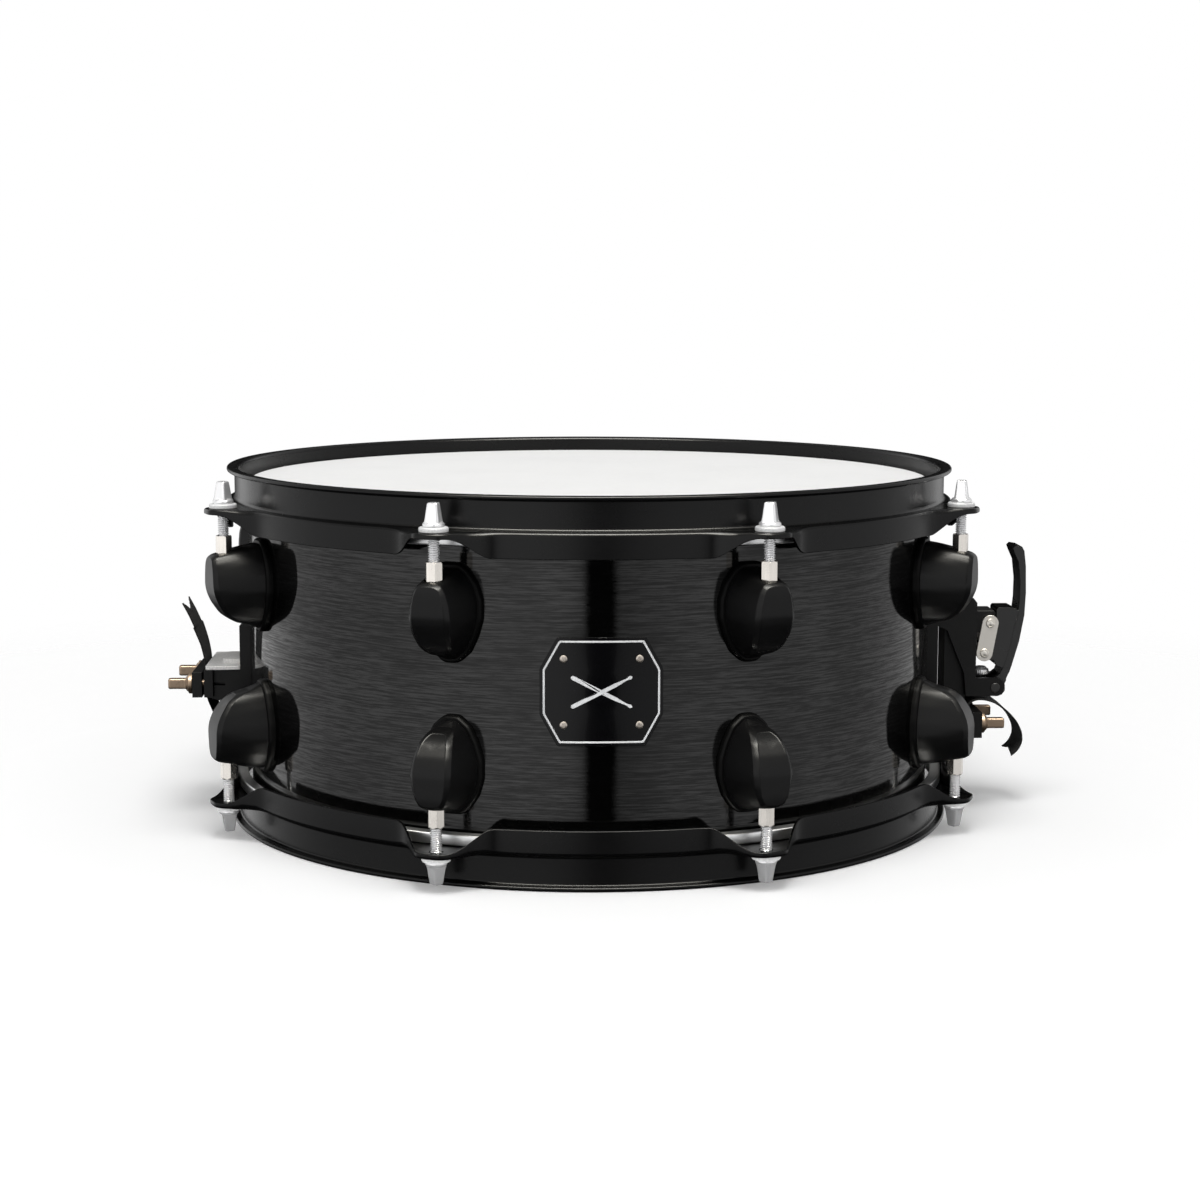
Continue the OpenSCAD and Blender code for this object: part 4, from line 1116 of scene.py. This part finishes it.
def rivets():
    """Link pins with a ringed, slightly domed head."""
    s = Soup()
    n = 40
    a = np.linspace(0, 2 * np.pi, n, endpoint=False)
    def pin(x, z, y0, y1, heads):
        prof = []
        r = 2.28
        head = [(r, 0.0), (r, 0.10), (r - 0.12, 0.24), (r - 0.55, 0.30), (r - 0.62, 0.16), (r - 0.78, 0.15), (r - 0.9, 0.30), (r - 1.5, 0.42), (0.25, 0.46)]
        lo = [(q, y0 + (0.46 - h) - 0.0) for q, h in head[::-1]] if heads[0] else [(r, y0)]
        hi = [(q, y1 - 0.46 + h) for q, h in head] if heads[1] else [(r, y1)]
        prof = lo + hi
        t = Soup()
        t.rings([np.stack([x + q * np.cos(a), np.full(n, y), z + q * np.sin(a)], -1) for q, y in prof])
        s.add(t)
    pin(R + 31.2, 80.0, -11.4, 11.4, (True, True))
    pin(R + 34.0, 95.9, -11.4, -8.95, (True, False))
    pin(R + 34.0, 95.9, 8.95, 11.4, (False, True))
    ob = s.make("link_rivets", M_LINK)
    finish_piece(ob, "link", "link_pins", slot="link_steel", sharp=32)


def thumb_screw():
    s = Soup()
    n = 72
    a = np.linspace(0, 2 * np.pi, n, endpoint=False)
    knurl = 1 - 0.035 * (np.arange(n) % 3 == 0)
    rows = []
    for r, z, k in ((1.2, 56.8, 0), (1.6, 57.3, 0), (1.6, 67.3, 0), (3.7, 67.35, 0), (4.1, 67.6, 1), (4.2, 67.85, 1), (4.2, 69.9, 1), (4.05, 70.15, 1), (3.6, 70.35, 0), (2.9, 71.1, 0), (2.5, 71.5, 0), (2.2, 71.55, 0)):
        rr = r * (knurl if k else 1.0)
        rows.append(np.stack([R + 31.4 + rr * np.cos(a), rr * np.sin(a), np.full(n, z)], -1))
    s.rings(rows)
    ob = s.make("thumb_screw", M_CHROME)
    finish_piece(ob, "tension_screw", "fine_tension_screw", slot="rod_chrome", sharp=30)


def key_screw(M):
    """Square-headed key screw along local Z, the same shape as the CAD one."""
    s = Soup()
    m = 48
    b = np.linspace(0, 2 * np.pi, m, endpoint=False) + math.pi / m
    ring = lambda rr, z: np.stack([rr * np.cos(b), rr * np.sin(b), np.full(m, z)], -1)
    def sq(w, z, cap=99.0):
        e = 8.0
        rr = (w / 2) / (np.abs(np.cos(b)) ** e + np.abs(np.sin(b)) ** e) ** (1 / e)
        rr = np.minimum(rr, cap)
        return np.stack([rr * np.cos(b), rr * np.sin(b), np.full(m, z)], -1)
    s.rings([ring(1.4, -9.45), ring(2.05, -8.9), ring(2.05, 0.06), ring(4.9, 0.07), ring(5.2, 0.25), ring(5.3, 0.55), ring(5.3, 1.75), ring(5.15, 2.1), ring(4.6, 2.3), ring(4.3, 2.55), ring(3.6, 3.35), ring(3.2, 3.6)])
    t = Soup()
    t.rings([sq(5.5, 3.4), sq(5.36, 3.9), sq(5.3, 4.6), sq(5.28, 11.2), sq(5.2, 11.9, cap=3.4), sq(4.9, 12.4, cap=3.0), sq(4.0, 12.6, cap=2.5)])
    s.add(t)
    return s.moved(M)


def clamp_keys(name, node_, pts, base, body):
    s = Soup()
    for x0, y, z in pts:
        s.add(key_screw(base @ at(x0, y, z) @ AX_R))
    ob = s.make(name, M_BRONZE)
    finish_piece(ob, body, node_, slot="bronze_screws", sharp=30)


rivets()
thumb_screw()
clamp_keys("throwoff_key_screws", "throwoff_clamp_screws", [(R + 28, -18, 44.4), (R + 28, 18, 44.4)], XP, "carriage")
clamp_keys("butt_key_screws", "butt_clamp_screws", [(R + 28.65, -20, 67.6), (R + 28.65, 20, 67.6)], XN, "drum")

# ------------------------------------------------------------------ straps
STRAP = [(R - 29.5, 4.0), (R - 20.5, 4.1), (R - 12.5, 5.1), (R - 4.5, 5.8), (R + 3.5, 6.5), (R + 9, 8.6), (R + 12.1, 13),
         (R + 13.7, 20), (R + 15, 27.4), (R + 19.6, 32.7), (R + 22.42, 36.8), (R + 22.42, 51), (R + 23.4, 54.0), (R + 26.8, 55.6), (R + 31.5, 55.7),
         (R + 37.5, 53.8), (R + 43.5, 49.5), (R + 48.6, 44), (R + 51.6, 38), (R + 52, 33), (R + 49.9, 28.4), (R + 46.2, 25.4)]
BUTT = [(R - 29.5, 4.0), (R - 20.5, 4.1), (R - 12.5, 5.1), (R - 4.5, 5.8), (R + 3.5, 6.5), (R + 9, 8.6), (R + 12.1, 13),
        (R + 13.7, 20), (R + 14.8, 30), (R + 17, 45), (R + 21.6, 56), (R + 23.05, 60.5), (R + 23.05, 74.5), (R + 23.4, 79),
        (R + 25, 86.5), (R + 28, 95), (R + 31, 102), (R + 34.4, 108.4)]


def smooth_route(pts, step=0.5):
    p = np.array(pts, float)
    d = np.r_[0, np.cumsum(np.linalg.norm(np.diff(p, axis=0), axis=1))]
    t = np.arange(0, d[-1] + 1e-9, step)
    q = np.stack([np.interp(t, d, p[:, 0]), np.interp(t, d, p[:, 1])], -1)
    k = np.exp(-0.5 * (np.arange(-12, 13) * step / 1.6) ** 2)
    k /= k.sum()
    ext = lambda c: np.r_[c[0] + (c[0] - c[1:13][::-1]), c, c[-1] + (c[-1] - c[-13:-1][::-1])]
    q = np.stack([np.convolve(ext(q[:, 0]), k, "valid"), np.convolve(ext(q[:, 1]), k, "valid")], -1)
    return q


def ribbon_mesh(name, pts, base, i0=None, i1=None, fork=None, seed=1, twist=None):
    """Woven ribbon 25 mm wide and 0.8 mm thick along a route of radius and height."""
    q = smooth_route(pts)
    s_all = np.r_[0, np.cumsum(np.linalg.norm(np.diff(q, axis=0), axis=1))]
    i0 = i0 or 0
    i1 = len(q) if i1 is None else i1
    T = np.gradient(q, axis=0)
    T /= np.linalg.norm(T, axis=1, keepdims=True)
    N = np.stack([-T[:, 1], T[:, 0]], -1)
    r_ = np.random.RandomState(seed)
    # section: across and through the thickness, with rounded selvages
    ys = np.linspace(-11.9, 11.9, 35)
    edge = [(12.35 + 0.15 * math.cos(math.radians(t)), 0.34 * math.sin(math.radians(t))) for t in (60, 30, 0, -30, -60)]
    up_ = [(y, 0.38 + (0.04 if abs(y) > 10.8 else 0.0)) for y in ys]
    sec = [(-12.2, 0.36)] + up_ + [(12.2, 0.36)] + [(y, h) for y, h in edge] + [(12.2, -0.36)] + [(y, -h) for y, h in up_[::-1]] + [(-12.2, -0.36)] + [(-y, -h) for y, h in edge]
    sec = np.array(sec)
    rows, us = [], []
    n_tail = 24
    for i in range(i0, i1):
        c, nn = q[i], N[i]
        x = c[0] + nn[0] * sec[:, 1]
        z = c[1] + nn[1] * sec[:, 1]
        row = np.stack([x, sec[:, 0], z], -1)
        if twist is not None:
            # turned about its own middle line, with the free end cupped
            ang, cup = twist(s_all[-1] - s_all[i])
            row[:, 0] += row[:, 1] * math.sin(ang) + cup * ((row[:, 1] / 12.5) ** 2 - 0.33)
            row[:, 1] *= math.cos(ang)
        rows.append(row)
        us.append(s_all[i])
    rows = np.array(rows)
    us = np.array(us)
    if fork is not None:
        # the cut end: a shallow fork with a few pulled threads
        y = sec[:, 0]
        cut = fork * (1 - np.abs(y) / 12.5) + 0.5 * np.sin(y * 2.1) + 0.35 * np.sin(y * 5.3 + 1)
        cut = np.clip(cut, 0, None)
        total = us[-1]
        for k in range(len(rows)):
            back = total - us[k]
            if back < 14:
                f = (14 - back) / 14
                target = us[k] - cut * f
                for j in range(len(y)):
                    rows[k, j, 0] = np.interp(target[j], us, q[i0:i1, 0]) + np.interp(target[j], us, N[i0:i1, 0]) * sec[j, 1]
                    rows[k, j, 2] = np.interp(target[j], us, q[i0:i1, 1]) + np.interp(target[j], us, N[i0:i1, 1]) * sec[j, 1]
    s = Soup()
    s.rings(rows)
    ob = s.make(name, M_STRAP)
    me = ob.data
    uvs = np.stack([np.repeat(us, len(sec)), np.tile(sec[:, 0], len(us))], -1) * MM
    lay = me.uv_layers.new(name="ribbon")
    li = np.empty(len(me.loops), np.int32)
    me.loops.foreach_get("vertex_index", li)
    lay.data.foreach_set("uv", uvs[li].astype(np.float32).ravel())
    M = Matrix(base.tolist())
    me.transform(M)
    return ob, float(us[-1] - us[0])


q_ = smooth_route(STRAP)
SPLIT = int(np.argmin(np.abs(q_[:, 1] - 11.0) + (q_[:, 0] > R + 20) * 99))
inner_strap, len_in = ribbon_mesh("throwoff_strap_inner", STRAP, XP, 0, SPLIT + 1)
outer_strap, len_out = ribbon_mesh("throwoff_strap_outer", STRAP, XP, SPLIT, None, fork=4.2, seed=3)
for ob, ln in ((inner_strap, len_in), (outer_strap, len_out)):
    ob.data.set_sharp_from_angle(angle=math.radians(60))
    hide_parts("throwoff_strap")
    print("sheet", ob.name, round(ln, 1))
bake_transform(inner_strap)
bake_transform(outer_strap)
def butt_twist(back):
    return (math.radians(np.interp(back, [0, 4, 14, 24, 34], [-7.0, -5.0, 3.2, 1.0, 0.0])), np.interp(back, [0, 6, 14, 30], [1.6, 0.8, 0.0, 0.0]))


butt, len_b = ribbon_mesh("butt_strap_ribbon", BUTT, XN, fork=6.5, seed=5, twist=butt_twist)
butt.data.set_sharp_from_angle(angle=math.radians(60))
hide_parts("butt_strap")
print("sheet", butt.name, round(len_b, 1))
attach(butt, "drum")


# ------------------------------------------------------------------ snare strands
def strands():
    s = Soup()
    pitch, r_c, r_w = 2.3, 0.83, 0.27
    L = R - 31.6
    per = 10
    turns = int(2 * L / pitch)
    t = np.arange(turns * per + 1) / per
    x = -L + t * pitch
    w = np.linspace(0, 2 * np.pi, 4, endpoint=False) + 0.4
    for i in range(20):
        y0 = (i - 9.5) * 4.0
        th = 2 * np.pi * t + i * 0.7
        cy, cz = y0 + r_c * np.cos(th), 5.7 + r_c * np.sin(th)
        # legs run flat onto the end plates
        C = np.stack([x, cy, cz], -1)
        leg = lambda sx: np.array([[sx * (L + 6.0), y0, 6.9], [sx * (L + 3.0), y0, 6.9], [sx * (L + 1.0), y0, 6.9]])
        C = np.concatenate([leg(-1), C, leg(1)[::-1]])
        Tn = np.gradient(C, axis=0)
        Tn /= np.linalg.norm(Tn, axis=1, keepdims=True)
        axis = np.array([1.0, 0, 0])
        rad = np.stack([np.zeros(len(C)), C[:, 1] - y0, C[:, 2] - 5.7], -1)
        rad[:3] = rad[-3:] = (0, 0, 1)
        rad /= np.maximum(np.linalg.norm(rad, axis=1, keepdims=True), 1e-9)
        rad -= (rad * Tn).sum(1, keepdims=True) * Tn
        rad /= np.linalg.norm(rad, axis=1, keepdims=True)
        bi = np.cross(Tn, rad)
        P = C[:, None] + r_w * (np.cos(w)[None, :, None] * rad[:, None] + np.sin(w)[None, :, None] * bi[:, None])
        q = Soup()
        q.rings(P)
        s.add(q)
    ob = add_mesh("snare_strands", np.concatenate(s.v), s.f, M_WIRE)
    fix_normals(ob)
    finish_piece(ob, "wires", "snare_wires", slot="wire_steel", sharp=0, weighted=False)


strands()

# ------------------------------------------------------------------ small CAD parts that stay as they are
KEEP = {"vent_grommet": M_ZINC, "lug_screws": M_OXIDE, "lug_screw_washers": M_ZINC, "throwoff_mount_screws": M_OXIDE, "strainer_screw_washers": M_ZINC, "butt_mount_screws": M_OXIDE}
for nd, mt in KEEP.items():
    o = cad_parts[nd]
    if not o.data.materials:
        o.data.materials.append(mt)
    for sl in o.material_slots:
        sl.material = mt


# ------------------------------------------------------------------ stage, light
def env_table():
    return [(-180, 0.0), (-160, 0.0), (-155, 1.0), (-150, 1.0), (-140, 0.92), (-130, 0.80), (-118, 0.74), (-105, 0.70), (-92, 0.72), (-80, 0.84), (-72, 0.90), (-60, 0.96),
            (-40, 1.06), (-30, 1.12), (-20, 1.12), (-14, 1.08), (-9, 0.92), (-5.0, 0.62), (-4.6, 0.0), (4.6, 0.0), (5.0, 0.48), (9, 0.56), (14, 0.66), (20, 0.76), (28, 0.84), (38, 0.88),
            (50, 0.80), (60, 0.74), (75, 0.76), (85, 0.64), (95, 0.56), (115, 0.53), (125, 0.58), (135, 0.61), (145, 0.70), (152, 0.77), (157, 0.1), (160, 0.0), (180, 0.0)]


world = bpy.data.worlds.new("studio")
scene.world = world
world.use_nodes = True
wt = world.node_tree
wt.nodes.clear()
tc = wt.nodes.new("ShaderNodeTexCoord")
sp = wt.nodes.new("ShaderNodeSeparateXYZ")
wt.links.new(tc.outputs["Generated"], sp.inputs[0])
ny = node(wt, "ShaderNodeMath", p_operation="MULTIPLY")
ny.inputs[1].default_value = -1.0
wt.links.new(sp.outputs["Y"], ny.inputs[0])
at2 = node(wt, "ShaderNodeMath", p_operation="ARCTAN2")
wt.links.new(sp.outputs["X"], at2.inputs[0])
wt.links.new(ny.outputs[0], at2.inputs[1])
phi = maprange(wt, at2.outputs[0], -math.pi + math.radians(2.0), math.pi + math.radians(2.0), -180.0, 180.0)
tab = env_table()
pts_l = [(a, v) for a, v in tab if a < 0] + [(0, 0.0)]
pts_r = [(0, 0.0)] + [(a, v) for a, v in tab if a > 0]
fl = maprange(wt, phi, -180, 0, 0.0, 1.0)
cl = ramp(wt, fl, [((a + 180) / 180, v / 1.15) for a, v in pts_l])
fr_ = maprange(wt, phi, 0, 180, 0.0, 1.0)
cr = ramp(wt, fr_, [(a / 180, v / 1.15) for a, v in pts_r])
sgn = node(wt, "ShaderNodeMath", p_operation="GREATER_THAN")
sgn.inputs[1].default_value = 0.0
wt.links.new(phi, sgn.inputs[0])
mixc = wt.nodes.new("ShaderNodeMix")
mixc.data_type = "FLOAT"
wt.links.new(sgn.outputs[0], mixc.inputs["Factor"])
wt.links.new(cl, mixc.inputs["A"])
wt.links.new(cr, mixc.inputs["B"])
band = node(wt, "ShaderNodeMath", p_operation="MULTIPLY")
band.inputs[1].default_value = 1.38
wt.links.new(mixc.outputs["Result"], band.inputs[0])
# above and below the band the room is even
hi_f = maprange(wt, sp.outputs["Z"], math.sin(math.radians(15)), math.sin(math.radians(40)), 0.0, 1.0)
lo_f = maprange(wt, sp.outputs["Z"], -math.sin(math.radians(12.5)), -math.sin(math.radians(20)), 0.0, 1.0)
m1 = wt.nodes.new("ShaderNodeMix")
m1.data_type = "FLOAT"
wt.links.new(hi_f, m1.inputs["Factor"])
wt.links.new(band.outputs[0], m1.inputs["A"])
m1.inputs["B"].default_value = 0.44
m2 = wt.nodes.new("ShaderNodeMix")
m2.data_type = "FLOAT"
wt.links.new(lo_f, m2.inputs["Factor"])
wt.links.new(m1.outputs["Result"], m2.inputs["A"])
m2.inputs["B"].default_value = 0.04
# the dark gap behind the camera runs up the wall as well
absphi = node(wt, "ShaderNodeMath", p_operation="ABSOLUTE")
wt.links.new(phi, absphi.inputs[0])
gap = node(wt, "ShaderNodeMath", p_operation="MAXIMUM")
wt.links.new(maprange(wt, absphi.outputs[0], 4.5, 5.1, 0.0, 1.0), gap.inputs[0])
wt.links.new(maprange(wt, sp.outputs["Z"], 0.62, 0.85, 0.0, 1.0), gap.inputs[1])
lit = node(wt, "ShaderNodeMath", p_operation="MULTIPLY")
wt.links.new(m2.outputs["Result"], lit.inputs[0])
wt.links.new(gap.outputs[0], lit.inputs[1])
bg = wt.nodes.new("ShaderNodeBackground")
wt.links.new(lit.outputs[0], bg.inputs["Strength"])
bg.inputs["Color"].default_value = (1, 1, 1, 1)
bg2 = wt.nodes.new("ShaderNodeBackground")
bg2.inputs["Color"].default_value = (1, 1, 1, 1)
bg2.inputs["Strength"].default_value = 1.0
lp = wt.nodes.new("ShaderNodeLightPath")
ms = wt.nodes.new("ShaderNodeMixShader")
wo = wt.nodes.new("ShaderNodeOutputWorld")
wt.links.new(lp.outputs["Is Camera Ray"], ms.inputs["Fac"])
wt.links.new(bg.outputs[0], ms.inputs[1])
wt.links.new(bg2.outputs[0], ms.inputs[2])
wt.links.new(ms.outputs[0], wo.inputs["Surface"])

m_floor, nt, b = material("studio_floor")
b.inputs["Base Color"].default_value = (0.93, 0.93, 0.93, 1)
b.inputs["Roughness"].default_value = 0.9
b.inputs["Specular IOR Level"].default_value = 0.1
b.inputs["Emission Color"].default_value = (1, 1, 1, 1)
b.inputs["Emission Strength"].default_value = 0.16
ftc = nt.nodes.new("ShaderNodeTexCoord")
fln = node(nt, "ShaderNodeVectorMath", p_operation="LENGTH")
nt.links.new(ftc.outputs["Object"], fln.inputs[0])
# seen from below the floor is clear, so the underside can be looked at
geo = nt.nodes.new("ShaderNodeNewGeometry")
fade = node(nt, "ShaderNodeMath", p_operation="SUBTRACT", p_use_clamp=True)
nt.links.new(maprange(nt, fln.outputs["Value"], 0.32, 0.75, 1.0, 0.0), fade.inputs[0])
nt.links.new(geo.outputs["Backfacing"], fade.inputs[1])
nt.links.new(fade.outputs[0], b.inputs["Alpha"])
s = Soup()
aa = np.linspace(0, 2 * np.pi, 96, endpoint=False)
s.rings([[(r * math.cos(t), r * math.sin(t), 0.0 - 0.05) for t in aa] for r in (1200, 300)], cap0=False, cap1=True)
floor = s.make("floor", m_floor, smooth=False)
if floor.data.polygons[0].normal.z < 0:
    floor.data.flip_normals()
floor.visible_glossy = False

ld = bpy.data.lights.new("softbox", "AREA")
ld.shape = "DISK"
ld.size = 1.0
ld.energy = 9.5 * math.pi * (math.pi * 0.50 ** 2)
lo_ = bpy.data.objects.new("softbox", ld)
lo_.location = (0.0, -0.5, 2.1)
lo_.rotation_euler = (Vector((0, 0, 0.15)) - Vector(lo_.location)).to_track_quat("-Z", "Y").to_euler()
scene.collection.objects.link(lo_)

lk = bpy.data.lights.new("edge_light", "AREA")
lk.shape = "RECTANGLE"
lk.size, lk.size_y = 2.2, 0.6
lk.color = (1.0, 0.97, 0.88)
lk.energy = 34.0 * math.pi * (2.2 * 0.6)
ek = bpy.data.objects.new("edge_light", lk)
ek.location = (0.0, -0.9, 1.9)
ek.rotation_euler = (Vector((0, -0.1, 0.1)) - Vector(ek.location)).to_track_quat("-Z", "Y").to_euler()
ek.visible_diffuse = False
ek.visible_transmission = False
scene.collection.objects.link(ek)
